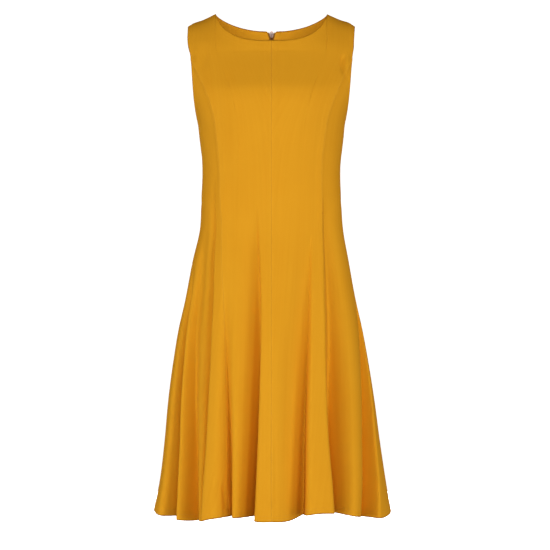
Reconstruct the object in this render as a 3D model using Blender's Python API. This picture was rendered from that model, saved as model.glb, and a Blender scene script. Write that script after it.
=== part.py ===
"""A sleeveless flared dress with princess seams, filled out as if worn, with no wearer in it.

Metres, +Z up, front towards -Y, left and right as the viewer sees them from the front.
The origin lies midway between the two shoulder straps, at the mid-height of their seams.

Every piece of cloth is cut from one smooth surface. A point of it has two coordinates:
  bearing  the compass bearing, in degrees, that its cloth column has at the hem
           (0 at the front, +90 at the right side, 180 at the back)
  run      the distance up that column from SHOULDER_BREAK, in metres; below it, run is height,
           and above it the cloth bends over the shoulder and reaches the ridge at SHOULDER_RUN
"""

from collections import namedtuple
from math import radians

import bmesh
import bpy
import numpy as np
from mathutils import Matrix, Vector

MM = 0.001

# ------------------------------------------------------------------ driving dimensions

CLOTH = 1.5 * MM            # wall of a panel
SEAM_GAP = 0.3 * MM         # between neighbouring pieces
HEM_HEIGHT = -0.981
UNDERARM_HEIGHT = -0.195
SEAM_START_HEIGHT = -0.076  # where the princess seams leave the armholes
SHOULDER_BREAK = -0.070     # above this the cloth starts to bend over the shoulder
SHOULDER_RUN = 0.100        # length of that bend, front edge to ridge
NECK_HALF_WIDTH = 0.111
NECK_POINT_HEIGHT = 0.0125
SHOULDER_SLOPE = 0.47       # fall of the shoulder ridge for each metre outwards
SHOULDER_ROUND = 2.6 * MM   # how far the ridge stands above that line near its tip
SHOULDER_ROUND_AT = 0.154
SHOULDER_ROUND_REACH = 11 * MM
FRONT_NECK_DROP = 0.0615
BACK_NECK_DROP = 0.0243
ARMHOLE_BEARING = 55.0      # bearing of the armhole's edge where the princess seam starts

ZIP_LENGTH = 0.50
ZIP_NOTCH_HALF = 9.2 * MM   # half of the gap between the two back necks
ZIP_NOTCH_DEPTH = 30.7 * MM
ZIP_NOTCH_REACH = 30 * MM   # how far out the cloth gives way round the notch
TAPE_WIDTH = 12 * MM
TAPE_THICKNESS = 1.0 * MM
INSIDE_GAP = 0.5 * MM       # between a panel and what is sewn inside it
FACING_ROWS = 2             # of the panel's rows, about 40 mm
FACING_THICKNESS = 1.2 * MM

# The slider and its pull tab, in a frame on the cloth: across, up along the zip, and inwards.
SLIDER_HEIGHT = -0.0170     # of its middle
SLIDER_OUTSIDE = 0.3 * MM   # how far its back stands out of the cloth's face
SLIDER_THICKNESS = 3.2 * MM
SLIDER_HALF_OUTLINE = ((0.9, 6.5), (2.6, 5.2), (4.2, 2.8), (4.5, 0.4), (3.8, -3.0), (2.8, -6.5))
BRIDGE_RISE = 1.0 * MM      # of the bridge's centre above the slider's middle
BRIDGE_INNER = 1.6 * MM
BRIDGE_OUTER = 2.8 * MM
BRIDGE_WIDTH = 2.4 * MM
TAB_THICKNESS = 0.9 * MM
TAB_HALF_OUTLINE = (
    (1.9, 0.6), (2.9, -0.4), (3.0, -3.6), (2.4, -5.4), (2.2, -8.0), (3.0, -13.0),
    (3.4, -17.0), (2.9, -19.4), (1.4, -20.8),
)
TAB_EYE_HALF_OUTLINE = ((1.3, -0.45), (1.6, -0.75), (1.6, -3.3), (1.3, -3.6))

Section = namedtuple("Section", "height left_width right_width front_depth back_depth squareness")
SECTIONS = (
    Section(+0.000, 0.1980, 0.1975, 0.0560, 0.0700, 2.30),  # shoulder ridge
    Section(-0.040, 0.1935, 0.1905, 0.0680, 0.0820, 2.32),
    Section(-0.076, 0.1865, 0.1865, 0.0850, 0.0930, 2.36),  # start of the princess seams
    Section(-0.119, 0.1765, 0.1765, 0.1078, 0.1030, 2.45),
    Section(-0.148, 0.1662, 0.1658, 0.1222, 0.1060, 2.54),
    Section(-0.159, 0.1620, 0.1615, 0.1250, 0.1065, 2.58),
    Section(-0.195, 0.1495, 0.1490, 0.1272, 0.1060, 2.68),  # underarm
    Section(-0.239, 0.1435, 0.1435, 0.1272, 0.1020, 2.75),  # bust
    Section(-0.299, 0.1384, 0.1375, 0.1125, 0.0900, 2.85),
    Section(-0.359, 0.1405, 0.1393, 0.0980, 0.0815, 2.88),  # waist
    Section(-0.419, 0.1428, 0.1432, 0.0995, 0.0900, 2.88),
    Section(-0.479, 0.1560, 0.1537, 0.1110, 0.1070, 2.78),
    Section(-0.559, 0.1719, 0.1680, 0.1260, 0.1260, 2.62),  # hip
    Section(-0.619, 0.1860, 0.1814, 0.1360, 0.1380, 2.38),
    Section(-0.679, 0.1957, 0.1925, 0.1450, 0.1480, 2.26),
    Section(-0.759, 0.2058, 0.2053, 0.1570, 0.1620, 2.24),
    Section(-0.839, 0.2132, 0.2160, 0.1690, 0.1740, 2.30),
    Section(-0.919, 0.2232, 0.2280, 0.1810, 0.1860, 2.38),
    Section(-0.981, 0.2353, 0.2382, 0.1900, 0.1950, 2.26),  # hem
)

# Bearings of each long seam at named heights; the hem's is also the seam's name on the cloth.
SEAM_HEIGHTS = (HEM_HEIGHT, -0.750, -0.560, -0.380, -0.220, -0.159, -0.119, SEAM_START_HEIGHT, 0.0)
Seam = namedtuple("Seam", "name hem thigh hip waist bust chest armhole start ridge")
SEAMS = (
    Seam("centre_back_left", -180, -180, -180, -180, -180, -180, -180, -180, -180),
    Seam("princess_back_left", -153, -151, -147, -140, -138, -133.6, -130, -125, -125.7),
    Seam("side_left", -90, -90, -90, -90, -90, -90, -90, -90, -90),
    Seam("princess_front_left", -23.0, -26.7, -30.7, -39.2, -42.4, -44.6, -48.6, -55.0, -54.3),
    Seam("centre_front", 0, 0, 0, 0, 0, 0, 0, 0, 0),
    Seam("princess_front_right", 30.3, 30.8, 34.6, 39.4, 41.4, 45.0, 48.8, 55.0, 54.3),
    Seam("side_right", 90, 90, 90, 90, 90, 90, 90, 90, 90),
    Seam("princess_back_right", 153, 151, 147, 140, 138, 133.6, 130, 125, 125.7),
    Seam("centre_back_right", 180, 180, 180, 180, 180, 180, 180, 180, 180),
)

# The valleys between the skirt's flutes, from the centre back round by the left side and the
# front. hem: bearing at the hem. middle, top: how far the valley lies from the seam before it to
# the seam after it, half way up and at its start, the height where the fold begins. depth and
# lean: how far its floor is pushed in, and along the hem towards greater bearings. left, right:
# width of each flank, in degrees at the hem.
Fold = namedtuple("Fold", "name hem middle top start depth lean left right")
FOLDS = (
    Fold("back_1", -169.0, 0.45, 0.42, -0.46, 0.050, +0.004, 3.6, 2.6),
    Fold("back_2", -146.0, 0.10, 0.12, -0.52, 0.058, -0.006, 2.4, 4.4),
    Fold("back_3", -123.0, 0.45, 0.42, -0.58, 0.046, +0.005, 4.2, 3.0),
    Fold("back_4", -102.0, 0.78, 0.76, -0.64, 0.044, +0.000, 3.6, 4.2),
    Fold("left_1", -58.4, 0.415, 0.43, -0.49, 0.078, -0.023, 4.8, 3.8),
    Fold("left_2", -42.4, 0.58, 0.68, -0.41, 0.063, -0.012, 6.6, 4.1),
    Fold("left_3", -35.3, 0.86, 0.90, -0.32, 0.050, -0.004, 2.5, 0.7),
    Fold("left_seam", -21.3, 0.05, 0.03, -0.51, 0.044, +0.003, 3.3, 1.8),
    Fold("front_1", -10.6, 0.71, 0.67, -0.36, 0.070, +0.013, 4.6, 1.5),
    Fold("front_2", 12.9, 0.62, 0.76, -0.42, 0.055, +0.013, 5.8, 2.1),
    Fold("right_seam", 32.1, 0.15, 0.03, -0.35, 0.076, +0.000, 1.5, 4.2),
    Fold("right_1", 56.5, 0.69, 0.85, -0.55, 0.051, +0.013, 9.5, 1.3),
    Fold("back_5", 101.0, 0.22, 0.24, -0.62, 0.046, -0.004, 4.0, 3.2),
    Fold("back_6", 125.0, 0.57, 0.60, -0.54, 0.055, +0.005, 4.0, 2.6),
    Fold("back_7", 148.0, 0.89, 0.88, -0.50, 0.048, -0.004, 2.6, 4.2),
    Fold("back_8", 168.0, 0.55, 0.60, -0.46, 0.058, +0.005, 3.8, 2.4),
)
FOLD_GROWTH = 1.09          # power of a fold's growth from its start to the hem
FOLD_SHAPE = 1.9            # 2 is a Gaussian trough; less is a sharper floor

# How far the hem is lifted at each bearing, in millimetres.
Lift = namedtuple("Lift", "bearing lift")
HEM_LIFTS = (
    Lift(-180, 2), Lift(-146, 6), Lift(-110, 0), Lift(-76, 4), Lift(-60, -2), Lift(-52, -3),
    Lift(-44, -7), Lift(-36, -2), Lift(-30, 5), Lift(-20, 9), Lift(-12, 7), Lift(-6, 3),
    Lift(0, 3), Lift(8, 3), Lift(16, 14), Lift(30, 16), Lift(42, 7), Lift(52, 1),
    Lift(62, -2), Lift(76, 0), Lift(110, 3), Lift(146, 6), Lift(180, 2),
)

PANEL_COLUMNS = 18
EVEN_COLUMNS = 0.5          # 0 spaces columns by the hem's length alone; more evens them out
PANEL_ROWS = 17             # from the hem to the chest, or to the armhole
CHEST_ROWS = 7              # from there to the neck and shoulder, on the centre panels
TALLER_LOW_ROWS = 0.3       # how much taller the lowest rows are than the average
CENTRE_CHEST_RUN = -0.125   # where those rows start at the centre seams
Panel = namedtuple("Panel", "name first_seam last_seam")
PANELS = (
    Panel("back_centre_left", "centre_back_left", "princess_back_left"),
    Panel("back_side_left", "princess_back_left", "side_left"),
    Panel("front_side_left", "side_left", "princess_front_left"),
    Panel("front_centre_left", "princess_front_left", "centre_front"),
    Panel("front_centre_right", "centre_front", "princess_front_right"),
    Panel("front_side_right", "princess_front_right", "side_right"),
    Panel("back_side_right", "side_right", "princess_back_right"),
    Panel("back_centre_right", "princess_back_right", "centre_back_right"),
)

MUSTARD = (0.72, 0.33, 0.018, 1.0)
TAPE_BROWN = (0.55, 0.24, 0.02, 1.0)
NICKEL = (0.62, 0.57, 0.52, 1.0)


# ------------------------------------------------------------------ the dress's surface


def smooth(at, knots, values):
    """Read a table at `at` along a curve that passes through its points without corners."""
    knots, values = np.asarray(knots, float), np.asarray(values, float)
    slopes = np.gradient(values, knots)
    left = np.clip(np.searchsorted(knots, at) - 1, 0, len(knots) - 2)
    step = knots[left + 1] - knots[left]
    t = np.clip((at - knots[left]) / step, 0, 1)
    start = (1 + 2 * t) * (1 - t) ** 2 * values[left] + t * (1 - t) ** 2 * step * slopes[left]
    end = t * t * (3 - 2 * t) * values[left + 1] - t * t * (1 - t) * step * slopes[left + 1]
    return start + end


def section(height, column):
    """One column of SECTIONS, read at a height."""
    rows = SECTIONS[::-1]
    return smooth(height, [row.height for row in rows], [getattr(row, column) for row in rows])


def seam_bearing(seam, height):
    return smooth(height, SEAM_HEIGHTS, seam[1:])


def fold_bearing(fold, height):
    """Bearing of a fold's floor: a share of the way between the seams on either side of it."""
    before = max((seam for seam in SEAMS if seam.hem <= fold.hem), key=lambda seam: seam.hem)
    after = min((seam for seam in SEAMS if seam.hem > fold.hem), key=lambda seam: seam.hem)
    at_hem = (fold.hem - before.hem) / (after.hem - before.hem)
    halfway = (HEM_HEIGHT + fold.start) / 2
    share = smooth(height, (HEM_HEIGHT, halfway, fold.start), (at_hem, fold.middle, fold.top))
    start, end = seam_bearing(before, height), seam_bearing(after, height)
    return start + share * (end - start)


def column_bearing(bearing, height):
    """Bearing at `height` of the cloth column that has `bearing` at the hem."""
    guides = [(seam.hem, seam_bearing(seam, height)) for seam in SEAMS]
    guides += [(fold.hem, fold_bearing(fold, height)) for fold in FOLDS]
    guides.sort(key=lambda guide: guide[0])
    hems = np.array([guide[0] for guide in guides], float)
    lines = np.stack([guide[1] for guide in guides])
    left = np.clip(np.searchsorted(hems, bearing) - 1, 0, len(hems) - 2)
    share = (bearing - hems[left]) / (hems[left + 1] - hems[left])
    start = np.take_along_axis(lines, left[None], 0)[0]
    end = np.take_along_axis(lines, left[None] + 1, 0)[0]
    return start + share * (end - start)


def fold_push(bearing, height):
    """How far the folds push the cloth inwards and sideways there."""
    inward, sideways = np.zeros_like(height), np.zeros_like(height)
    for fold in FOLDS:
        grown = np.clip((fold.start - height) / (fold.start - HEM_HEIGHT), 0, None) ** FOLD_GROWTH
        away = (bearing - fold.hem + 180) % 360 - 180
        flank = np.where(away < 0, fold.left, fold.right)
        dip = grown * np.exp(-(np.abs(away) / flank) ** FOLD_SHAPE)
        inward += fold.depth * dip
        sideways += fold.lean * dip
    return inward, sideways


def ridge_height(x):
    """Height of the shoulder ridge, which runs on upwards over the neck."""
    proud = np.exp(-(((np.abs(x) - SHOULDER_ROUND_AT) / SHOULDER_ROUND_REACH) ** 2))
    line = NECK_POINT_HEIGHT - SHOULDER_SLOPE * (np.abs(x) - NECK_HALF_WIDTH)
    return line + SHOULDER_ROUND * proud


def zip_gap(z):
    """Half-width of the notch that the zip leaves in the back neck."""
    notch_bottom = NECK_POINT_HEIGHT - BACK_NECK_DROP - ZIP_NOTCH_DEPTH
    return ZIP_NOTCH_HALF * np.clip((z - notch_bottom) / ZIP_NOTCH_DEPTH, 0, 1.3)


def surface(bearing, run, side):
    """Points of the dress's outer face; `side` is +1 on the right half and -1 on the left."""
    bearing, run = np.broadcast_arrays(np.asarray(bearing, float), np.asarray(run, float))
    bend = np.clip(run / SHOULDER_RUN, 0, 1.2) * np.pi / 2
    height = np.where(run > 0, SHOULDER_BREAK * (1 - np.sin(bend)), SHOULDER_BREAK + run)
    turn = np.radians(column_bearing(bearing, height))
    right = np.sin(turn) > 0
    width = np.where(right, section(height, "right_width"), section(height, "left_width"))
    power = section(height, "squareness")
    front = np.cos(turn) > 0
    depth = np.where(front, section(height, "front_depth"), section(height, "back_depth"))
    radius = (np.abs(np.sin(turn)) ** power + np.abs(np.cos(turn)) ** power) ** (-1 / power)
    across, ahead = np.sin(turn) * radius, np.cos(turn) * radius

    normal_x = np.sign(across) * np.abs(across) ** (power - 1) / width
    normal_y = -np.sign(ahead) * np.abs(ahead) ** (power - 1) / depth
    length = np.hypot(normal_x, normal_y)
    normal_x, normal_y = normal_x / length, normal_y / length
    inward, sideways = fold_push(bearing, height)
    x = width * across - normal_x * inward - normal_y * sideways
    y = -depth * ahead * np.cos(bend) - normal_y * inward + normal_x * sideways
    z = np.where(run > 0, SHOULDER_BREAK + (ridge_height(x) - SHOULDER_BREAK) * np.sin(bend), height)
    gives_way = np.where(front, 0.0, zip_gap(z) * np.exp(-np.abs(x) / ZIP_NOTCH_REACH))
    return np.stack([x + side * gives_way, y, z], -1)


def directions(bearing, run, side):
    """Unit vectors along the cloth (to the right and up) and out of it."""
    turn_step, run_step = 0.15, 0.5 * MM
    along = surface(bearing + turn_step, run, side) - surface(bearing - turn_step, run, side)
    up = surface(bearing, run + run_step, side) - surface(bearing, run - run_step, side)
    along /= np.linalg.norm(along, axis=-1, keepdims=True)
    up /= np.linalg.norm(up, axis=-1, keepdims=True)
    out = np.cross(along, up)
    return along, up, out / np.linalg.norm(out, axis=-1, keepdims=True)


# ------------------------------------------------------------------ edges of the panels


def hem_run(bearing):
    lift = smooth(bearing, [row.bearing for row in HEM_LIFTS], [row.lift for row in HEM_LIFTS])
    return HEM_HEIGHT + lift * MM - SHOULDER_BREAK


def armhole_run(bearing):
    """Run of the lower armhole: a quarter ellipse from the underarm to the princess seam."""
    height = np.linspace(UNDERARM_HEIGHT, SEAM_START_HEIGHT, 160)
    climb = (height - UNDERARM_HEIGHT) / (SEAM_START_HEIGHT - UNDERARM_HEIGHT)
    edge = 90 - (90 - ARMHOLE_BEARING) * np.sqrt(1 - (1 - climb) ** 2)
    middle = bearing.mean()
    edge = np.sign(middle) * (180 - edge if abs(middle) > 90 else edge)
    candidates = np.linspace(bearing.min(), bearing.max(), 400)
    at_height = column_bearing(*np.broadcast_arrays(candidates[:, None], height[None]))
    found = [np.interp(edge[k], at_height[:, k], candidates) for k in range(len(height))]
    order = np.argsort(found)
    return np.interp(bearing, np.array(found)[order], height[order]) - SHOULDER_BREAK


def neck_height(x, back):
    """Height of the neck edge as seen from the front."""
    share = np.clip(np.abs(x) / NECK_HALF_WIDTH, 0, 1)
    front_fall = FRONT_NECK_DROP * (1 - share**3) ** (1 / 1.6)
    back_fall = BACK_NECK_DROP * (1 - share**2.3) ** (1 / 1.1)
    return NECK_POINT_HEIGHT - np.where(back, back_fall, front_fall)


def neck_run(bearing):
    """Run where each column meets the neck edge, or the shoulder ridge outside the neck."""
    low, high = np.full_like(bearing, -0.02), np.full_like(bearing, SHOULDER_RUN)
    back = np.abs(bearing) > 90
    for _ in range(40):
        middle = (low + high) / 2
        point = surface(bearing, middle, 0)
        under = point[..., 2] < neck_height(point[..., 0], back)
        low, high = np.where(under, middle, low), np.where(under, high, middle)
    outside = np.abs(surface(bearing, SHOULDER_RUN, 0)[..., 0]) > NECK_HALF_WIDTH - 0.01 * MM
    return np.where(outside, SHOULDER_RUN, low)


def neck_point_bearing(first, last):
    """The column that reaches the shoulder ridge at the neck point."""
    bearing = np.linspace(first, last, 400)
    reach = np.abs(surface(bearing, SHOULDER_RUN, 0)[..., 0])
    order = np.argsort(reach)
    return float(np.interp(NECK_HALF_WIDTH, reach[order], bearing[order]))


def spread(first, last, count, side):
    """Columns from one seam to the next, closer together where a fold runs steeply inwards."""
    fine = np.linspace(first, last, 800)
    hem = surface(fine, hem_run(fine), side)
    length = np.linalg.norm(np.diff(hem, axis=0), axis=1)
    weight = length / length.sum() + EVEN_COLUMNS / len(length)
    total = np.concatenate([[0], np.cumsum(weight)])
    return np.interp(np.linspace(0, total[-1], count + 1), total, fine)


def panel_columns(panel, first, last, side):
    """Bearings of a panel's columns; a centre panel keeps one on the neck point."""
    if "centre" not in panel.name:
        return spread(first, last, PANEL_COLUMNS, side)
    neck_point = neck_point_bearing(first, last)
    before = np.argmin(np.abs(spread(first, last, PANEL_COLUMNS, side) - neck_point))
    start = spread(first, neck_point, before, side)
    return np.concatenate([start, spread(neck_point, last, PANEL_COLUMNS - before, side)[1:]])


def climb(low, high, rows):
    """Rows from one edge to another, a little closer together towards the top."""
    share = np.linspace(0, 1, rows + 1)[:, None]
    return low + share * (1 + TALLER_LOW_ROWS * (1 - share)) * (high - low)


def panel_net(panel):
    """Bearings and runs of a panel's points, and its side; rows go up from the hem."""
    hems = {seam.name: float(seam.hem) for seam in SEAMS}
    first, last = hems[panel.first_seam], hems[panel.last_seam]
    side = np.sign(first + last)
    bearing = panel_columns(panel, first, last, side)
    if "centre" in panel.name:
        seam_start = SEAM_START_HEIGHT - SHOULDER_BREAK
        middle, princess = (first, last) if "centre" in panel.first_seam else (last, first)
        share = (bearing - middle) / (princess - middle)
        chest = CENTRE_CHEST_RUN + share * (seam_start - CENTRE_CHEST_RUN)
        upper = climb(chest, neck_run(bearing), CHEST_ROWS)[1:]
        run = np.concatenate([climb(hem_run(bearing), chest, PANEL_ROWS), upper])
    else:
        run = climb(hem_run(bearing), armhole_run(bearing), PANEL_ROWS)
    return np.broadcast_to(bearing, run.shape), run, side


# ------------------------------------------------------------------ solids


def material(name, colour, roughness, metallic=0.0):
    made = bpy.data.materials.new(name)
    made.use_nodes = True
    shader = made.node_tree.nodes["Principled BSDF"]
    shader.inputs["Base Color"].default_value = colour
    shader.inputs["Roughness"].default_value = roughness
    shader.inputs["Metallic"].default_value = metallic
    return made


def wall(name, outer, inner, collection, colour):
    """A closed wall between two nets of points: a grid laid on one and extruded to the other."""
    rows, columns = outer.shape[0] - 1, outer.shape[1] - 1
    body = bmesh.new()
    bmesh.ops.create_grid(body, x_segments=columns, y_segments=rows, size=1.0)
    places = {}
    for vert in body.verts:
        column = round((vert.co.x + 1) / 2 * columns)
        row = round((vert.co.y + 1) / 2 * rows)
        places[vert] = (row, column)
    raised = bmesh.ops.extrude_face_region(body, geom=body.faces[:], use_keep_orig=True)
    for vert in (item for item in raised["geom"] if isinstance(item, bmesh.types.BMVert)):
        row, column = round((vert.co.y + 1) / 2 * rows), round((vert.co.x + 1) / 2 * columns)
        vert.co = inner[row, column]
    for vert, (row, column) in places.items():
        vert.co = outer[row, column]
    bmesh.ops.triangulate(body, faces=body.faces[:])
    bmesh.ops.recalc_face_normals(body, faces=body.faces[:])
    mesh = bpy.data.meshes.new(name)
    body.to_mesh(mesh)
    body.free()
    mesh.shade_smooth()
    mesh.set_sharp_from_angle(angle=radians(50))
    made = bpy.data.objects.new(name, mesh)
    mesh.materials.append(material(name, colour, 0.75))
    collection.objects.link(made)
    return made


def panel_faces(panel):
    """Points of a panel's outer face and the directions out of it, edges half a gap back."""
    bearing, run, side = panel_net(panel)
    points = surface(bearing, run, side)
    along, up, out = directions(bearing, run, side)
    points[:, 0] += along[:, 0] * SEAM_GAP / 2
    points[:, -1] -= along[:, -1] * SEAM_GAP / 2
    on_ridge = run[-1] >= SHOULDER_RUN - 0.01 * MM
    points[-1, on_ridge] -= up[-1, on_ridge] * SEAM_GAP / 2
    return points, out


def make_panel(panel, collection):
    points, out = panel_faces(panel)
    return wall(panel.name, points, points - out * CLOTH, collection, MUSTARD)


def from_centre_back(panel):
    """A centre-back panel's faces with the zip's edge first."""
    points, out = panel_faces(panel)
    if panel.last_seam.startswith("centre_back"):
        points, out = points[:, ::-1], out[:, ::-1]
    return points, out


def walk(row, distance):
    """Where a row of points is a distance along from its first: the cell and the share of it."""
    steps = np.linalg.norm(np.diff(row, axis=0), axis=1)
    passed = np.concatenate([[0], np.cumsum(steps)])
    cell = min(int(np.searchsorted(passed, distance, side="right")) - 1, len(steps) - 1)
    return cell, (distance - passed[cell]) / steps[cell]


def between(rows, cell, share):
    return rows[cell] * (1 - share) + rows[cell + 1] * share


def make_zip_tape(name, panel, collection):
    """A zip tape: a strip along the centre-back panel's own points, moved inwards.

    It runs from the panel's second row below the neck edge to the row nearest ZIP_LENGTH."""
    points, out = from_centre_back(panel)
    length = points[-1, 0, 2] - points[:, 0, 2]
    first = int(np.argmin(np.abs(length - ZIP_LENGTH)))
    face, turned = [], []
    for row, normals in zip(points[first:-1], out[first:-1]):
        stations = [walk(row, width) for width in (0.3 * MM, TAPE_WIDTH / 2, TAPE_WIDTH)]
        face.append([between(row, *station) for station in stations])
        turned.append([between(normals, *station) for station in stations])
    outside = np.array(face) - np.array(turned) * (CLOTH + INSIDE_GAP)
    inside = outside - np.array(turned) * TAPE_THICKNESS
    return wall(name, outside, inside, collection, TAPE_BROWN)


def make_facing(name, panel, collection):
    """The back neck's facing: the centre-back panel's top rows, moved inwards."""
    points, out = from_centre_back(panel)
    neck_point = int(np.argmin(np.abs(np.abs(points[-1, :, 0]) - NECK_HALF_WIDTH)))
    points = points[-1 - FACING_ROWS:, :neck_point + 1]
    out = out[-1 - FACING_ROWS:, :neck_point + 1]
    from_edge = np.abs(points[..., :1]) - zip_gap(points[..., 2:])
    clear_of_tape = (TAPE_THICKNESS + SEAM_GAP) * np.exp(-(from_edge / (2.4 * TAPE_WIDTH)) ** 4)
    outside = points - out * (CLOTH + INSIDE_GAP + clear_of_tape)
    inside = outside - out * FACING_THICKNESS
    return wall(name, outside, inside, collection, MUSTARD)


def zip_frame():
    """Where the slider sits: across, up along the cloth and inwards, from the centre-back line."""
    line = np.linspace(-0.1, SHOULDER_RUN, 500)
    heights = surface(np.full_like(line, 180.0), line, 0)[:, 2]
    run = np.array([np.interp(SLIDER_HEIGHT, heights, line)])
    middle = surface(180.0, run, 0)[0]
    out = Vector(directions(180.0, run, 0)[2][0]).normalized()
    across = Vector((1, 0, 0))
    up = across.cross(out)
    turned = Matrix((across, up, -out)).transposed().to_4x4()
    return Matrix.Translation(middle) @ turned


def plate(name, outlines, thickness):
    """A flat mesh from mirrored half outlines in millimetres; the second outline is a hole."""
    flat = bpy.data.curves.new(name, "CURVE")
    flat.dimensions, flat.fill_mode, flat.extrude = "2D", "BOTH", thickness / 2
    for half in outlines:
        loop = list(half) + [(-x, y) for x, y in reversed(half)]
        spline = flat.splines.new("POLY")
        spline.points.add(len(loop) - 1)
        for point, (x, y) in zip(spline.points, loop):
            point.co = (x * MM, y * MM, 0, 1)
        spline.use_cyclic_u = True
    drawn = bpy.data.objects.new(name + "_outline", flat)
    bpy.context.scene.collection.objects.link(drawn)
    bpy.context.view_layer.update()
    evaluated = drawn.evaluated_get(bpy.context.evaluated_depsgraph_get())
    mesh = bpy.data.meshes.new_from_object(evaluated)
    bpy.data.objects.remove(drawn, do_unlink=True)
    body = bmesh.new()
    body.from_mesh(mesh)
    bmesh.ops.remove_doubles(body, verts=body.verts[:], dist=0.01 * MM)
    bmesh.ops.recalc_face_normals(body, faces=body.faces[:])
    body.to_mesh(mesh)
    body.free()
    mesh.name = name
    return mesh


def cross_cylinder(name, radius, width, segments, place, collection):
    """A cylinder that lies across the zip, in the slider's frame."""
    body = bmesh.new()
    bmesh.ops.create_cone(
        body, cap_ends=True, segments=segments, radius1=radius, radius2=radius, depth=width
    )
    bmesh.ops.rotate(body, verts=body.verts[:], matrix=Matrix.Rotation(radians(90), 3, "Y"))
    mesh = bpy.data.meshes.new(name)
    body.to_mesh(mesh)
    body.free()
    made = bpy.data.objects.new(name, mesh)
    made.matrix_world = place
    made.hide_render = True
    made.display_type = "WIRE"
    collection.objects.link(made)
    return made


def add_boolean(target, operation, cutter):
    modifier = target.modifiers.new(cutter.name, "BOOLEAN")
    modifier.operation = operation
    modifier.object = cutter


def make_zip_pull(dress, cutters):
    """The slider with its bridge, and the pull tab that hinges in the bridge."""
    frame = zip_frame()
    bridge_out = SLIDER_OUTSIDE + BRIDGE_INNER + 0.05 * MM
    pivot = frame @ Matrix.Translation((0, BRIDGE_RISE, -bridge_out))
    ring = cross_cylinder("bridge_ring", BRIDGE_OUTER, BRIDGE_WIDTH, 24, pivot, cutters)
    hole = cross_cylinder("bridge_hole", BRIDGE_INNER, 2 * BRIDGE_WIDTH, 20, pivot, cutters)

    slab = plate("zip_slider", [SLIDER_HALF_OUTLINE], SLIDER_THICKNESS)
    slider = bpy.data.objects.new("zip_slider", slab)
    slider.matrix_world = frame @ Matrix.Translation((0, 0, SLIDER_THICKNESS / 2 - SLIDER_OUTSIDE))
    add_boolean(slider, "UNION", ring)
    add_boolean(slider, "DIFFERENCE", hole)

    outlines = [TAB_HALF_OUTLINE, TAB_EYE_HALF_OUTLINE]
    tab = bpy.data.objects.new("zip_pull_tab", plate("zip_pull_tab", outlines, TAB_THICKNESS))
    tab.matrix_world = pivot
    for made in (slider, tab):
        made.data.materials.append(material(made.name, NICKEL, 0.35, 1.0))
        dress.objects.link(made)


def main():
    for old in list(bpy.data.objects):
        bpy.data.objects.remove(old, do_unlink=True)
    dress = bpy.data.collections.new("flared_dress")
    bpy.context.scene.collection.children.link(dress)
    for panel in PANELS:
        make_panel(panel, dress)
    for side, panel in (("left", PANELS[0]), ("right", PANELS[-1])):
        make_zip_tape(f"zip_tape_{side}", panel, dress)
        make_facing(f"neck_facing_back_{side}", panel, dress)
    cutters = bpy.data.collections.new("cutters")
    bpy.context.scene.collection.children.link(cutters)
    make_zip_pull(dress, cutters)


main()
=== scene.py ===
# %% [markdown]
# # A sleeveless flared dress
#
# The real one is cut from eight panels of crepe: four at the front and four at the back, joined by
# a centre-front seam, princess seams that leave the armholes, side seams, and a zip with a seam
# below it at the centre back. It is filled out as if worn, but empty. Here one smooth surface is
# worked out from tables of real sizes, the panels are cut from it, and every seam, edge and crease
# is a small push of that surface in or out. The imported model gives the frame, so we load it first.

# %% Load the frame
from collections import namedtuple

import bpy
import numpy as np
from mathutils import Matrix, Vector


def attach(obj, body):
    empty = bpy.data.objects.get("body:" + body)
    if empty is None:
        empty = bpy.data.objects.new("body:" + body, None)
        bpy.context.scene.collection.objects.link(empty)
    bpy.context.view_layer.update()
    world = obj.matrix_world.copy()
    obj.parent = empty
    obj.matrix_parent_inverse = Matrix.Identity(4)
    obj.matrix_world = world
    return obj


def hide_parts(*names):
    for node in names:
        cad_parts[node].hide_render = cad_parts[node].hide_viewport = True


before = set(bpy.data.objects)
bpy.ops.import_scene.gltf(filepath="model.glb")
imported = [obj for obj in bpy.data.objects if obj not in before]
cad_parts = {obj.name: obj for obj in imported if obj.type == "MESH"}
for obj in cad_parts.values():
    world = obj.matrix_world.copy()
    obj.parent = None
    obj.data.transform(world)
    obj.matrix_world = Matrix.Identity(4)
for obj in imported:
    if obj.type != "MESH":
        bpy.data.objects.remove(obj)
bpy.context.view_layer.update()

# %% [markdown]
# ## The body of the dress
#
# A dressmaker thinks in girths at named heights. So does this table: at each height the plan of
# the dress is a rounded oblong with its own left and right half-widths, depth in front and behind,
# and squareness (2 is an ellipse, more is squarer). A smooth curve through each column gives every
# height between. The alternative, sculpting, would look as good but could not be re-cut by a number.

# %% Sizes
MM = 0.001

CLOTH = 0.9 * MM              # crepe is thinner than the frame's solid wall
HEM_HEIGHT = -0.981
UNDERARM_HEIGHT = -0.195
SEAM_START_HEIGHT = -0.076    # where the princess seams leave the armholes
SHOULDER_BREAK = -0.070       # above this the cloth starts to bend over the shoulder
SHOULDER_RUN = 0.100          # length of that bend, from the front edge to the ridge
NECK_HALF_WIDTH = 0.111
NECK_POINT_HEIGHT = 0.0125
SHOULDER_SLOPE = 0.47
SHOULDER_ROUND = 2.6 * MM     # the ridge stands this much proud near its tip
SHOULDER_ROUND_AT = 0.154
SHOULDER_ROUND_REACH = 11 * MM
FRONT_NECK_DROP = 0.0615
BACK_NECK_DROP = 0.0243
ARMHOLE_BEARING = 55.0
ZIP_NOTCH_HALF = 9.2 * MM     # half of the gap between the two back necks
ZIP_NOTCH_DEPTH = 30.7 * MM
ZIP_NOTCH_REACH = 30 * MM
ZIP_LENGTH = 0.50

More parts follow.
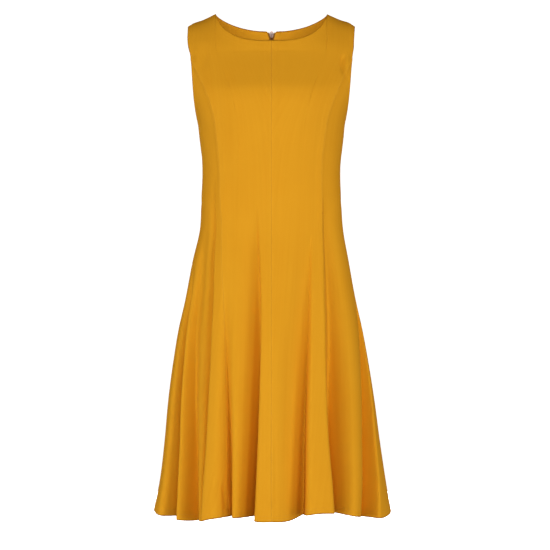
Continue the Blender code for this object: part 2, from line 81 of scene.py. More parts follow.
Section = namedtuple("Section", "height left_width right_width front_depth back_depth squareness")
SECTIONS = (
    Section(+0.000, 0.1980, 0.1975, 0.0560, 0.0700, 2.30),  # shoulder ridge
    Section(-0.040, 0.1935, 0.1905, 0.0680, 0.0820, 2.32),
    Section(-0.076, 0.1865, 0.1865, 0.0850, 0.0930, 2.36),  # start of the princess seams
    Section(-0.119, 0.1765, 0.1765, 0.1078, 0.1030, 2.45),
    Section(-0.148, 0.1662, 0.1658, 0.1222, 0.1060, 2.54),
    Section(-0.159, 0.1620, 0.1615, 0.1250, 0.1065, 2.58),
    Section(-0.195, 0.1495, 0.1490, 0.1272, 0.1060, 2.68),  # underarm
    Section(-0.239, 0.1435, 0.1435, 0.1272, 0.1020, 2.75),  # bust
    Section(-0.299, 0.1384, 0.1375, 0.1125, 0.0900, 2.85),
    Section(-0.359, 0.1405, 0.1393, 0.0980, 0.0815, 2.88),  # waist
    Section(-0.419, 0.1428, 0.1432, 0.0995, 0.0900, 2.88),
    Section(-0.479, 0.1560, 0.1537, 0.1110, 0.1070, 2.78),
    Section(-0.559, 0.1719, 0.1680, 0.1260, 0.1260, 2.62),  # hip
    Section(-0.619, 0.1860, 0.1814, 0.1360, 0.1380, 2.38),
    Section(-0.679, 0.1957, 0.1925, 0.1450, 0.1480, 2.26),
    Section(-0.759, 0.2058, 0.2053, 0.1570, 0.1620, 2.24),
    Section(-0.839, 0.2132, 0.2160, 0.1690, 0.1740, 2.30),
    Section(-0.919, 0.2232, 0.2280, 0.1810, 0.1860, 2.38),
    Section(-0.981, 0.2353, 0.2382, 0.1900, 0.1950, 2.26),  # hem
)

# %% [markdown]
# ## Seams and folds
#
# Long seams are lines of compass bearing down the body: 0 is the front, +90 the right side as the
# viewer sees it, 180 the back. The skirt's flutes come from its folds. Each row of the table is one
# valley, placed from the photograph on the front and in the same uneven rhythm behind: its
# bearing at the hem, how far it lies between its two seams higher up, where it starts, how deep it
# gets, and how wide each flank is. Cloth that falls in a flute has one lazy flank and one steep one,
# so the two widths differ. A cloth simulation would give flutes too, but not these flutes.

# %% Seams, folds and the hem's rise and fall
SEAM_HEIGHTS = (HEM_HEIGHT, -0.750, -0.560, -0.380, -0.220, -0.159, -0.119, SEAM_START_HEIGHT, 0.0)
Seam = namedtuple("Seam", "name hem thigh hip waist bust chest armhole start ridge")
SEAMS = (
    Seam("centre_back_left", -180, -180, -180, -180, -180, -180, -180, -180, -180),
    Seam("princess_back_left", -153, -151, -147, -140, -138, -133.6, -130, -125, -125.7),
    Seam("side_left", -90, -90, -90, -90, -90, -90, -90, -90, -90),
    Seam("princess_front_left", -23.0, -26.7, -30.7, -39.2, -42.4, -44.6, -48.6, -55.0, -54.3),
    Seam("centre_front", 0, 0, 0, 0, 0, 0, 0, 0, 0),
    Seam("princess_front_right", 30.3, 30.8, 34.6, 39.4, 41.4, 45.0, 48.8, 55.0, 54.3),
    Seam("side_right", 90, 90, 90, 90, 90, 90, 90, 90, 90),
    Seam("princess_back_right", 153, 151, 147, 140, 138, 133.6, 130, 125, 125.7),
    Seam("centre_back_right", 180, 180, 180, 180, 180, 180, 180, 180, 180),
)

Fold = namedtuple("Fold", "name hem middle top start depth lean left right")
FOLDS = (
    Fold("back_1", -169.0, 0.45, 0.42, -0.46, 0.050, +0.004, 3.6, 2.6),
    Fold("back_2", -146.0, 0.10, 0.12, -0.52, 0.058, -0.006, 2.4, 4.4),
    Fold("back_3", -123.0, 0.45, 0.42, -0.58, 0.046, +0.005, 4.2, 3.0),
    Fold("back_4", -102.0, 0.78, 0.76, -0.64, 0.044, +0.000, 3.6, 4.2),
    Fold("left_1", -58.4, 0.415, 0.43, -0.49, 0.078, -0.023, 4.8, 3.8),
    Fold("left_2", -42.4, 0.58, 0.68, -0.41, 0.063, -0.012, 6.6, 4.1),
    Fold("left_3", -35.3, 0.86, 0.90, -0.32, 0.050, -0.004, 2.5, 0.7),
    Fold("left_seam", -21.3, 0.05, 0.03, -0.51, 0.044, +0.003, 3.3, 1.8),
    Fold("front_1", -10.6, 0.71, 0.67, -0.36, 0.070, +0.013, 4.6, 1.5),
    Fold("front_2", 12.9, 0.62, 0.76, -0.42, 0.055, +0.013, 5.8, 2.1),
    Fold("right_seam", 32.1, 0.15, 0.03, -0.35, 0.076, +0.000, 1.5, 4.2),
    Fold("right_1", 56.5, 0.69, 0.85, -0.55, 0.051, +0.013, 9.5, 1.3),
    Fold("back_5", 101.0, 0.22, 0.24, -0.62, 0.046, -0.004, 4.0, 3.2),
    Fold("back_6", 125.0, 0.57, 0.60, -0.54, 0.055, +0.005, 4.0, 2.6),
    Fold("back_7", 148.0, 0.89, 0.88, -0.50, 0.048, -0.004, 2.6, 4.2),
    Fold("back_8", 168.0, 0.55, 0.60, -0.46, 0.058, +0.005, 3.8, 2.4),
)
FOLD_GROWTH = 1.09            # power of a fold's growth from its start to the hem
FOLD_SHAPE = 1.9              # 2 is a Gaussian trough; less is a sharper floor

Lift = namedtuple("Lift", "bearing lift")
HEM_LIFTS = (
    Lift(-180, 2), Lift(-146, 6), Lift(-110, 0), Lift(-76, 4), Lift(-60, -2), Lift(-52, -3),
    Lift(-44, -7), Lift(-36, -2), Lift(-30, 5), Lift(-20, 9), Lift(-12, 7), Lift(-6, 3),
    Lift(0, 3), Lift(8, 3), Lift(16, 14), Lift(30, 16), Lift(42, 7), Lift(52, 1),
    Lift(62, -2), Lift(76, 0), Lift(110, 3), Lift(146, 6), Lift(180, 2),
)

# %% [markdown]
# ## Reading the tables
#
# `smooth` draws a cubic through a column of a table, so that a section halfway between two rows is
# halfway in shape too and no corner shows. The other three functions use it: where a seam runs,
# where a fold's floor runs, and which bearing a thread of cloth has higher up than the hem.

# %% Curves through the tables
def smooth(at, knots, values):
    """Cubic through (knots, values) whose slope at a knot is that of its two neighbours' chord."""
    knots, values = np.asarray(knots, float), np.asarray(values, float)
    slopes = np.gradient(values, knots)
    left = np.clip(np.searchsorted(knots, at) - 1, 0, len(knots) - 2)
    step = knots[left + 1] - knots[left]
    t = np.clip((at - knots[left]) / step, 0, 1)
    start = (1 + 2 * t) * (1 - t) ** 2 * values[left] + t * (1 - t) ** 2 * step * slopes[left]
    end = t * t * (3 - 2 * t) * values[left + 1] - t * t * (1 - t) * step * slopes[left + 1]
    return start + end


def section(height, column):
    """One column of SECTIONS, read at a height."""
    rows = SECTIONS[::-1]
    return smooth(height, [row.height for row in rows], [getattr(row, column) for row in rows])


def seam_bearing(seam, height):
    """The seam's bearing at a height."""
    return smooth(height, SEAM_HEIGHTS, seam[1:])


def fold_bearing(fold, height):
    """Bearing of a fold's floor: a share of the way between the seams on either side of it."""
    before = max((seam for seam in SEAMS if seam.hem <= fold.hem), key=lambda seam: seam.hem)
    after = min((seam for seam in SEAMS if seam.hem > fold.hem), key=lambda seam: seam.hem)
    at_hem = (fold.hem - before.hem) / (after.hem - before.hem)
    halfway = (HEM_HEIGHT + fold.start) / 2
    share = smooth(height, (HEM_HEIGHT, halfway, fold.start), (at_hem, fold.middle, fold.top))
    start, end = seam_bearing(before, height), seam_bearing(after, height)
    return start + share * (end - start)


def column_bearing(bearing, height):
    """Bearing at `height` of the thread that has `bearing` at the hem: seams and folds guide it."""
    guides = [(seam.hem, seam_bearing(seam, height)) for seam in SEAMS]
    guides += [(fold.hem, fold_bearing(fold, height)) for fold in FOLDS]
    guides.sort(key=lambda guide: guide[0])
    hems = np.array([guide[0] for guide in guides], float)
    lines = np.stack([guide[1] for guide in guides])
    left = np.clip(np.searchsorted(hems, bearing) - 1, 0, len(hems) - 2)
    share = (bearing - hems[left]) / (hems[left + 1] - hems[left])
    start = np.take_along_axis(lines, left[None], 0)[0]
    end = np.take_along_axis(lines, left[None] + 1, 0)[0]
    return start + share * (end - start)

# %% [markdown]
# ## One surface for the whole dress
#
# Every piece of cloth is cut from this surface. A point has two coordinates: the bearing that its
# thread has at the hem, and the run, the distance up that thread from where the cloth starts to bend
# over the shoulder. Two parameters and whole arrays: the plan at that height, pushed in by the folds
# along its own normal, then bent over the shoulder by a quarter turn.

# %% The surface
def fold_push(bearing, height):
    """Inward and sideways push of the folds: depth x growth down the skirt x a bell of bearing."""
    inward, sideways = np.zeros_like(height), np.zeros_like(height)
    for fold in FOLDS:
        grown = np.clip((fold.start - height) / (fold.start - HEM_HEIGHT), 0, None) ** FOLD_GROWTH
        away = (bearing - fold.hem + 180) % 360 - 180
        flank = np.where(away < 0, fold.left, fold.right)
        dip = grown * np.exp(-(np.abs(away) / flank) ** FOLD_SHAPE)
        inward += fold.depth * dip
        sideways += fold.lean * dip
    return inward, sideways


def ridge_height(x):
    """The shoulder ridge: a straight fall outwards from the neck point, rounded near its tip."""
    proud = np.exp(-(((np.abs(x) - SHOULDER_ROUND_AT) / SHOULDER_ROUND_REACH) ** 2))
    line = NECK_POINT_HEIGHT - SHOULDER_SLOPE * (np.abs(x) - NECK_HALF_WIDTH)
    return line + SHOULDER_ROUND * proud


def zip_gap(z):
    """Half-width of the notch that the open end of the zip leaves in the back neck."""
    notch_bottom = NECK_POINT_HEIGHT - BACK_NECK_DROP - ZIP_NOTCH_DEPTH
    return ZIP_NOTCH_HALF * np.clip((z - notch_bottom) / ZIP_NOTCH_DEPTH, 0, 1.3)


def surface(bearing, run, side):
    """Superellipse plan |x/w|^n + |y/d|^n = 1 at each height, less the folds' push along its
    normal; above the break the depth shrinks as a cosine while the height climbs to the ridge as a
    sine. `side` is +1 on the right half and -1 on the left."""
    bearing, run = np.broadcast_arrays(np.asarray(bearing, float), np.asarray(run, float))
    bend = np.clip(run / SHOULDER_RUN, 0, 1.2) * np.pi / 2
    height = np.where(run > 0, SHOULDER_BREAK * (1 - np.sin(bend)), SHOULDER_BREAK + run)
    turn = np.radians(column_bearing(bearing, height))
    right = np.sin(turn) > 0
    width = np.where(right, section(height, "right_width"), section(height, "left_width"))
    power = section(height, "squareness")
    front = np.cos(turn) > 0
    depth = np.where(front, section(height, "front_depth"), section(height, "back_depth"))
    radius = (np.abs(np.sin(turn)) ** power + np.abs(np.cos(turn)) ** power) ** (-1 / power)
    across, ahead = np.sin(turn) * radius, np.cos(turn) * radius

    normal_x = np.sign(across) * np.abs(across) ** (power - 1) / width
    normal_y = -np.sign(ahead) * np.abs(ahead) ** (power - 1) / depth
    length = np.hypot(normal_x, normal_y)
    normal_x, normal_y = normal_x / length, normal_y / length
    inward, sideways = fold_push(bearing, height)
    x = width * across - normal_x * inward - normal_y * sideways
    y = -depth * ahead * np.cos(bend) - normal_y * inward + normal_x * sideways
    z = np.where(run > 0, SHOULDER_BREAK + (ridge_height(x) - SHOULDER_BREAK) * np.sin(bend), height)
    gives_way = np.where(front, 0.0, zip_gap(z) * np.exp(-np.abs(x) / ZIP_NOTCH_REACH))
    return np.stack([x + side * gives_way, y, z], -1)


def directions(bearing, run, side):
    """Unit vectors to the right and up along the cloth, by small steps, and their cross product,
    which points out of it."""
    turn_step, run_step = 0.05, 0.3 * MM
    along = surface(bearing + turn_step, run, side) - surface(bearing - turn_step, run, side)
    up = surface(bearing, run + run_step, side) - surface(bearing, run - run_step, side)
    along /= np.linalg.norm(along, axis=-1, keepdims=True)
    up /= np.linalg.norm(up, axis=-1, keepdims=True)
    out = np.cross(along, up)
    return along, up, out / np.linalg.norm(out, axis=-1, keepdims=True)


print("hem, left to right:", np.ptp(surface(np.arange(-179, 180), HEM_HEIGHT - SHOULDER_BREAK, 0)[:, 0]))

# %% [markdown]
# ## Where each panel ends
#
# Below, the hem; above, the armhole on a side panel, and the neck and the shoulder on a centre
# panel. The armhole is a quarter of an ellipse on the cloth. The neck is drawn as it is seen from
# the front, a flat-bottomed curve, and each thread is followed up until it meets that curve.

# %% Edges
def hem_run(bearing):
    """The hem's run: level, but lifted or dropped a few millimetres as HEM_LIFTS says."""
    lift = smooth(bearing, [row.bearing for row in HEM_LIFTS], [row.lift for row in HEM_LIFTS])
    return HEM_HEIGHT + lift * MM - SHOULDER_BREAK


def armhole_run(bearing):
    """Run of the lower armhole: a quarter ellipse from the underarm to the princess seam."""
    height = np.linspace(UNDERARM_HEIGHT, SEAM_START_HEIGHT, 160)
    climb = (height - UNDERARM_HEIGHT) / (SEAM_START_HEIGHT - UNDERARM_HEIGHT)
    edge = 90 - (90 - ARMHOLE_BEARING) * np.sqrt(1 - (1 - climb) ** 2)
    middle = bearing.mean()
    edge = np.sign(middle) * (180 - edge if abs(middle) > 90 else edge)
    candidates = np.linspace(bearing.min(), bearing.max(), 400)
    at_height = column_bearing(*np.broadcast_arrays(candidates[:, None], height[None]))
    found = [np.interp(edge[k], at_height[:, k], candidates) for k in range(len(height))]
    order = np.argsort(found)
    return np.interp(bearing, np.array(found)[order], height[order]) - SHOULDER_BREAK


def neck_height(x, back):
    """Neck edge from the front: a drop times (1 - |x|^a)^(1/b) of the neck's half-width."""
    share = np.clip(np.abs(x) / NECK_HALF_WIDTH, 0, 1)
    front_fall = FRONT_NECK_DROP * (1 - share**3) ** (1 / 1.6)
    back_fall = BACK_NECK_DROP * (1 - share**2.3) ** (1 / 1.1)
    return NECK_POINT_HEIGHT - np.where(back, back_fall, front_fall)


def neck_run(bearing):
    """Run where each thread meets the neck edge, by halving; outside the neck, the ridge."""
    low, high = np.full_like(bearing, -0.02), np.full_like(bearing, SHOULDER_RUN)
    back = np.abs(bearing) > 90
    for _ in range(40):
        middle = (low + high) / 2
        point = surface(bearing, middle, 0)
        under = point[..., 2] < neck_height(point[..., 0], back)
        low, high = np.where(under, middle, low), np.where(under, high, middle)
    outside = np.abs(surface(bearing, SHOULDER_RUN, 0)[..., 0]) > NECK_HALF_WIDTH - 0.01 * MM
    return np.where(outside, SHOULDER_RUN, low)


def neck_point_bearing(first, last):
    """The thread that reaches the shoulder ridge at the neck point."""
    bearing = np.linspace(first, last, 400)
    reach = np.abs(surface(bearing, SHOULDER_RUN, 0)[..., 0])
    order = np.argsort(reach)
    return float(np.interp(NECK_HALF_WIDTH, reach[order], bearing[order]))

# %% [markdown]
# ## The pattern
#
# The cut of each panel, flat, in metres: the width of its hem, its longest edge and its area, with
# the 15 mm that the hem turns up. A panel is a grid of threads, finest beside the seams and edges
# where the small forms are.

# %% The panels and their grid
Panel = namedtuple("Panel", "name first_seam last_seam cut_width cut_length cut_area sewn_to")
PANELS = (
    Panel("back_centre_left", "centre_back_left", "princess_back_left", 0.174, 1.029, 0.1305,
          ("front_centre_left", "back_side_left")),
    Panel("back_side_left", "princess_back_left", "side_left", 0.404, 0.939, 0.159,
          ("back_centre_left", "front_side_left")),
    Panel("front_side_left", "side_left", "princess_front_left", 0.458, 0.939, 0.187,
          ("front_centre_left", "back_side_left")),
    Panel("front_centre_left", "princess_front_left", "centre_front", 0.226, 1.024, 0.140,
          ("back_centre_left", "front_centre_right")),
    Panel("front_centre_right", "centre_front", "princess_front_right", 0.212, 1.018, 0.1385,
          ("back_centre_right", "front_centre_left")),
    Panel("front_side_right", "princess_front_right", "side_right", 0.372, 0.933, 0.159,
          ("front_centre_right", "back_side_right")),
    Panel("back_side_right", "side_right", "princess_back_right", 0.405, 0.938, 0.159,
          ("back_centre_right", "front_side_right")),
    Panel("back_centre_right", "princess_back_right", "centre_back_right", 0.193, 1.028, 0.1345,
          ("front_centre_right", "back_side_right")),
)
COLUMNS, ROWS = 104, 196
FINEST, COARSEST = 0.9 * MM, 6.0 * MM     # steps beside an edge and far from one
STEP_GROWTH = 0.16


def uneven_steps(length, count, fine_places):
    """Distances from 0 to `length`; the step grows with the distance from the nearest fine place."""
    fine = np.linspace(0, length, 3000)
    away = np.abs(fine[:, None] - np.array(fine_places)).min(1)
    density = 1 / (FINEST + STEP_GROWTH * away) + 1 / COARSEST
    total = np.concatenate([[0], np.cumsum((density[1:] + density[:-1]) / 2)])
    return np.interp(np.linspace(0, total[-1], count + 1), total, fine)


def panel_threads(panel, first, last, side):
    """Bearings of a panel's threads, spaced along the hem by `uneven_steps`: fine at both seams,
    and on a centre panel also at the neck point, where the neck's edge runs nearly upright."""
    fine = np.linspace(first, last, 1600)
    steps = np.linalg.norm(np.diff(surface(fine, hem_run(fine), side), axis=0), axis=1)
    passed = np.concatenate([[0], np.cumsum(steps)])
    if "centre" not in panel.name:
        return np.interp(uneven_steps(passed[-1], COLUMNS, [0, passed[-1]]), passed, fine)
    neck_point = neck_point_bearing(first, last)
    middle = np.interp(neck_point, fine, passed)
    threads = np.interp(uneven_steps(passed[-1], COLUMNS, [0, middle, passed[-1]]), passed, fine)
    threads[np.argmin(np.abs(threads - neck_point))] = neck_point
    return threads


def panel_net(panel):
    """Bearings (one per thread) and runs (row by thread, hem upwards) of a panel, and its side."""
    hems = {seam.name: float(seam.hem) for seam in SEAMS}
    first, last = hems[panel.first_seam], hems[panel.last_seam]
    side = np.sign(first + last)
    bearing = panel_threads(panel, first, last, side)
    top = neck_run(bearing) if "centre" in panel.name else armhole_run(bearing)
    bottom = hem_run(bearing)
    length = panel.cut_length
    share = uneven_steps(length, ROWS, [0, length])[:, None] / length
    return bearing, bottom + share * (top - bottom), side

# %% [markdown]
# ## What sewing does to the surface
#
# A pressed seam is a fine groove between two soft ridges, because the allowances lie open beneath
# it. A princess seam also stands up a little: the front is flat, the side turns away, and the cloth
# breaks along the stitches. A faced edge rolls inwards and shows the facing's allowance as a faint
# step. Each is a function of the distance from a seam or an edge, in metres, added along the
# surface's normal. The same could be painted as bump, but real relief also changes the outline.

# %% Seam and edge relief
HEM_TURNING = 15 * MM                     # the hem is turned up this far inside
STITCH_LINES = (6 * MM, 12 * MM)          # above the hem's edge


def ease(t):
    """Smooth step from 0 to 1: 3t^2 - 2t^3 of the clipped t."""
    t = np.clip(t, 0, 1)
    return t * t * (3 - 2 * t)


def groove(distance, depth=0.7 * MM, width=1.1 * MM):
    """The dip where two pieces are drawn together by the stitches: a Gaussian."""
    return -depth * np.exp(-((distance / width) ** 2))


def allowance(distance, height, width):
    """The pad of a pressed-open allowance: flat for its width, gone 4 mm further out."""
    return height * (1 - ease((distance - width) / (4 * MM)))


def break_line(distance, height, reach):
    """A cusp: height x exp(-distance / reach)."""
    return height * np.exp(-distance / reach)


SEAM_RELIEF = {
    "centre_front": lambda d: groove(d) + allowance(d, 0.45 * MM, 11 * MM) + break_line(d, 0.5 * MM, 3 * MM),
    "princess_front": lambda d: groove(d) + allowance(d, 0.3 * MM, 9 * MM) + break_line(d, 3.0 * MM, 12 * MM),
    "princess_back": lambda d: groove(d) + allowance(d, 0.3 * MM, 9 * MM) + break_line(d, 1.6 * MM, 12 * MM),
    "side": lambda d: groove(d) + allowance(d, 0.3 * MM, 9 * MM),
    "centre_back": lambda d: groove(d, 0.9 * MM, 1.4 * MM) + allowance(d, 0.7 * MM, 10 * MM),
    "shoulder": lambda d: groove(d, 0.5 * MM) + allowance(d, 0.3 * MM, 8 * MM),
}


def seam_relief(seam_name, distance):
    """The relief of the named seam; its own name without _left or _right picks the row."""
    kind = seam_name.removesuffix("_left").removesuffix("_right")
    return SEAM_RELIEF[kind](distance)


def edge_relief(distance):
    """A faced edge: the last 1.8 mm roll in by 1.1 mm, the allowance pads the next 7 mm, and the
    edge of the facing's own turning draws a faint ridge 12 mm in."""
    roll = -1.1 * MM * np.clip(1 - distance / (1.8 * MM), 0, 1) ** 2
    ridge = 0.25 * MM * np.exp(-(((distance - 12 * MM) / (1.6 * MM)) ** 2))
    return roll + allowance(distance, 0.35 * MM, 5 * MM) + ridge


def hem_relief(distance):
    """The hem: a pad over the turned layer, gone above it, and a dent along each line of stitches."""
    pad = 0.4 * MM * (1 - ease((distance - HEM_TURNING) / (3 * MM)))
    dents = [np.exp(-(((distance - line) / (1.0 * MM)) ** 2)) for line in STITCH_LINES]
    return pad - 0.35 * MM * sum(dents)

# %% [markdown]
# ## Creases
#
# Apart from the flutes the cloth shows a few soft creases: beside the armholes, where the straps
# carry the weight, at the waist, and in the steep flanks of the skirt. Each row is one trough
# (or ridge, where the depth is negative) on one face of the dress, seen square on: from one end to
# the other in metres, how far it bows sideways, its width and its depth.

# %% Crease table
Crease = namedtuple("Crease", "face from_x from_z to_x to_z bow width depth")
CREASES = (
    # Beside the front armholes.
    Crease("front", -0.134, -0.052, -0.132, -0.104, 0.003, 0.0070, 0.0016),
    Crease("front", -0.148, -0.060, -0.147, -0.110, 0.002, 0.0050, -0.0010),
    Crease("front", 0.141, -0.076, 0.142, -0.116, -0.002, 0.0042, 0.0052),
    Crease("front", 0.151, -0.070, 0.149, -0.120, -0.002, 0.0050, -0.0016),
    Crease("front", 0.128, -0.100, 0.122, -0.150, 0.002, 0.0090, -0.0008),
    # Under the bust, at the sides, and at the waist: faint pulls.
    Crease("front", -0.145, -0.172, -0.110, -0.182, 0.003, 0.0080, -0.0010),
    Crease("front", -0.140, -0.205, -0.118, -0.260, 0.004, 0.0090, 0.0009),
    Crease("front", 0.140, -0.215, 0.118, -0.275, -0.004, 0.0100, 0.0008),
    Crease("front", -0.136, -0.330, -0.112, -0.392, 0.003, 0.0080, 0.0007),
    Crease("front", 0.134, -0.340, 0.112, -0.400, -0.003, 0.0080, 0.0008),
    # In the skirt.
    Crease("front", -0.094, -0.905, -0.087, -0.968, 0.001, 0.0042, 0.0034),
    Crease("front", -0.133, -0.430, -0.141, -0.640, 0.002, 0.0070, 0.0012),
    Crease("front", 0.040, -0.440, 0.036, -0.620, 0.002, 0.0110, -0.0010),
    Crease("front", 0.032, -0.600, 0.028, -0.900, 0.002, 0.0090, 0.0022),
    Crease("front", 0.008, -0.780, 0.009, -1.120, 0.000, 0.0055, 0.0013),
    # Behind.
    Crease("back", -0.130, -0.062, -0.126, -0.120, 0.003, 0.0075, 0.0016),
    Crease("back", 0.133, -0.055, 0.128, -0.112, -0.003, 0.0065, 0.0018),
    Crease("back", -0.118, -0.215, -0.088, -0.268, 0.004, 0.0100, 0.0010),
    Crease("back", 0.121, -0.205, 0.094, -0.262, -0.004, 0.0100, 0.0010),
    Crease("back", -0.020, -0.330, -0.085, -0.352, -0.004, 0.0080, 0.0012),
    Crease("back", 0.018, -0.338, 0.080, -0.366, 0.005, 0.0090, 0.0013),
    Crease("back", -0.024, -0.372, -0.090, -0.388, -0.003, 0.0075, 0.0009),
    Crease("back", 0.088, -0.905, 0.095, -0.966, 0.001, 0.0045, 0.0028),
    # At the sides.
    Crease("left", -0.030, -0.262, 0.012, -0.300, 0.003, 0.0090, 0.0010),
    Crease("right", 0.026, -0.255, -0.014, -0.296, -0.003, 0.0090, 0.0010),
    Crease("left", 0.020, -0.345, -0.024, -0.372, 0.003, 0.0085, 0.0009),
    Crease("right", -0.022, -0.350, 0.022, -0.378, -0.003, 0.0085, 0.0009),
)
FACE_NORMALS = {"front": (0, -1), "back": (0, 1), "left": (-1, 0), "right": (1, 0)}


def crease_relief(points, out):
    """Sum over creases of -depth x exp(-(s/width)^2) x an arch along its length, where s is the
    sideways distance from its bowed line on the face seen square on."""
    relief = np.zeros(points.shape[:-1])
    for crease in CREASES:
        normal = FACE_NORMALS[crease.face]
        facing = ease(2.2 * (out[..., 0] * normal[0] + out[..., 1] * normal[1]))
        across = points[..., 1] if normal[0] else points[..., 0]
        start = np.array([crease.from_x, crease.from_z])
        line = np.array([crease.to_x, crease.to_z]) - start
        length = np.hypot(*line)
        line = line / length
        ahead = (across - start[0]) * line[0] + (points[..., 2] - start[1]) * line[1]
        aside = (across - start[0]) * -line[1] + (points[..., 2] - start[1]) * line[0]
        share = np.clip(ahead / length, 0, 1)
        arch = 4 * share * (1 - share)
        bell = np.exp(-(((aside - crease.bow * arch) / crease.width) ** 2))
        relief -= crease.depth * facing * bell * arch**0.8
    return relief


def gentle_relief(points):
    """Cloth is never dead smooth: three long, slanting sine waves, a third of a millimetre each."""
    x, y, z = np.moveaxis(points, -1, 0)
    waves = np.sin(31 * x + 17 * z + 2.1) + np.sin(23 * y - 13 * z + 0.4) + np.sin(47 * x - 29 * y + 9 * z)
    return 0.30 * MM * waves

# %% [markdown]
# ## From arrays to meshes
#
# One helper turns a grid of points into a mesh with a UV map in metres along the cloth, so that
# every pattern can be given in real millimetres, and one gives the mesh a place in the scene.

# %% Mesh helpers
def grid_mesh(name, points, uv, marks=None):
    """Quads between neighbouring rows and columns of `points`, wound so that they face the side
    that rows-right crossed with columns-up points to."""
    rows, columns = points.shape[:2]
    corner = np.arange(rows * columns).reshape(rows, columns)
    quads = np.stack([corner[:-1, :-1], corner[:-1, 1:], corner[1:, 1:], corner[1:, :-1]], -1)
    quads = quads.reshape(-1, 4)
    mesh = bpy.data.meshes.new(name)
    mesh.from_pydata(points.reshape(-1, 3), [], quads)
    layer = mesh.uv_layers.new(name="cloth")
    layer.data.foreach_set("uv", uv.reshape(-1, 2)[quads.reshape(-1)].reshape(-1))
    for mark, values in (marks or {}).items():
        mesh.attributes.new(mark, "FLOAT", "POINT").data.foreach_set("value", values.reshape(-1))
    mesh.shade_smooth()
    return mesh


def place(name, mesh, finish, body="dress", replaces=()):
    """Link a mesh as a piece that rides on a body, wears a finish and stands for CAD nodes."""
    piece = bpy.data.objects.new(name, mesh)
    bpy.context.scene.collection.objects.link(piece)
    mesh.materials.clear()
    mesh.materials.append(finish)
    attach(piece, body)
    if replaces:
        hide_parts(*replaces)
    return piece


def thicken(piece, thickness):
    """Give a sheet its thickness, inwards from the face that shows."""
    solidify = piece.modifiers.new("thickness", "SOLIDIFY")
    solidify.thickness = thickness
    solidify.offset = -1
    solidify.use_rim = True


def loft(rings, ends):
    """Points and faces of closed tubes from rings (tube, ring, point round it, xyz). The ends are
    "capped", or "joined", first ring to last. Turned outwards where the signed volume, the sum of
    a . (b x c) / 6, comes out negative."""
    tubes, count, around = rings.shape[:3]
    corner = np.arange(tubes * count * around).reshape(tubes, count, around)
    rows = np.concatenate([corner, corner[:, :1]], 1) if ends == "joined" else corner
    rows = np.concatenate([rows, rows[..., :1]], 2)
    quads = np.stack([rows[:, :-1, :-1], rows[:, :-1, 1:], rows[:, 1:, 1:], rows[:, 1:, :-1]], -1)
    quads = quads.reshape(-1, 4)
    points = rings.reshape(-1, 3)
    a, b, c, d = np.moveaxis(points[quads] - points.mean(0), 1, 0)
    volume = (a * np.cross(b, c)).sum() + (a * np.cross(c, d)).sum()
    faces = quads.tolist()
    if ends == "capped":
        faces += corner[:, 0, ::-1].tolist() + corner[:, -1].tolist()
    return points, [face[::-1] for face in faces] if volume < 0 else faces


def solid_mesh(name, lofts, sharp_from=40):
    """One mesh from several lofts, smooth except where faces meet at a sharper angle."""
    starts = np.cumsum([0] + [len(points) for points, _ in lofts])
    faces = [[corner + int(start) for corner in face]
             for start, (_, part) in zip(starts, lofts) for face in part]
    mesh = bpy.data.meshes.new(name)
    mesh.from_pydata(np.concatenate([points for points, _ in lofts]), [], faces)
    mesh.shade_smooth()
    mesh.set_sharp_from_angle(angle=np.radians(sharp_from))
    return mesh


def tubes(paths, radius, sides, up):
    """Rings round paths (tube, point, xyz), radius as wide at each point; `up` is any direction
    that the paths don't run in."""
    along = np.gradient(paths, axis=1)
    first = np.cross(along, up)
    first /= np.linalg.norm(first, axis=-1, keepdims=True)
    second = np.cross(along, first)
    second /= np.linalg.norm(second, axis=-1, keepdims=True)
    turn = np.arange(sides) * 2 * np.pi / sides
    spoke = first[:, :, None] * np.cos(turn)[:, None] + second[:, :, None] * np.sin(turn)[:, None]
    return paths[:, :, None] + np.broadcast_to(radius, paths.shape[1:2])[None, :, None, None] * spoke

# %% [markdown]
# ## Nodes and colours
#
# Materials are built from nodes by one small function. Colours are written as a painter reads them
# off a screen, in sRGB hex, and turned to the linear values that the shader works in.

# %% Material helpers
def linear(hex_colour):
    """sRGB hex to linear RGBA: c/12.92 below 0.04045, else ((c + 0.055)/1.055)^2.4."""
    value = np.array([int(hex_colour[k:k + 2], 16) for k in (1, 3, 5)]) / 255
    turned = np.where(value <= 0.04045, value / 12.92, ((value + 0.055) / 1.055) ** 2.4)
    return (*turned.tolist(), 1.0)


def new_finish(name):
    """An empty Principled material: its node tree and its shader."""
    finish = bpy.data.materials.new(name)
    finish.use_nodes = True
    return finish, finish.node_tree, finish.node_tree.nodes["Principled BSDF"]


def add(tree, kind, inputs=None, links=None, **settings):
    """Add a node, set its own settings and its sockets' values, and link what feeds it."""
    node = tree.nodes.new("ShaderNode" + kind)
    for key, value in settings.items():
        setattr(node, key, value)
    for socket, value in (inputs or {}).items():
        node.inputs[socket].default_value = value
    for socket, source in (links or {}).items():
        tree.links.new(source, node.inputs[socket])
    return node

# %% [markdown]
# ## Crepe
#
# Crepe is woven from hard-twisted yarn that kinks when it is washed, so its face is pebbled at
# about a millimetre and has no shine, only a soft bloom at grazing angles. The pebbles are noise
# stretched along the threads, in millimetres of the cloth itself. Slightly uneven yarn gives faint
# streaks down the cloth. Two marks on the mesh paint light into the colour: painted highlight, a
# band a shade lighter beside each seam where its ridge catches the light, and painted shade, a thin
# darker line where the cloth turns under, at the hem, the armholes and the back neck, and along the
# seams and the shoulder.

# %% The crepe finish
PEBBLE = 1.1 * MM             # across the threads; real crepe is nearer 0.5 mm, too fine to show
PEBBLE_LONG = 1.6 * MM
STREAK = 5 * MM
STREAK_LONG = 260 * MM
CLOUDS_A_METRE = 9.0


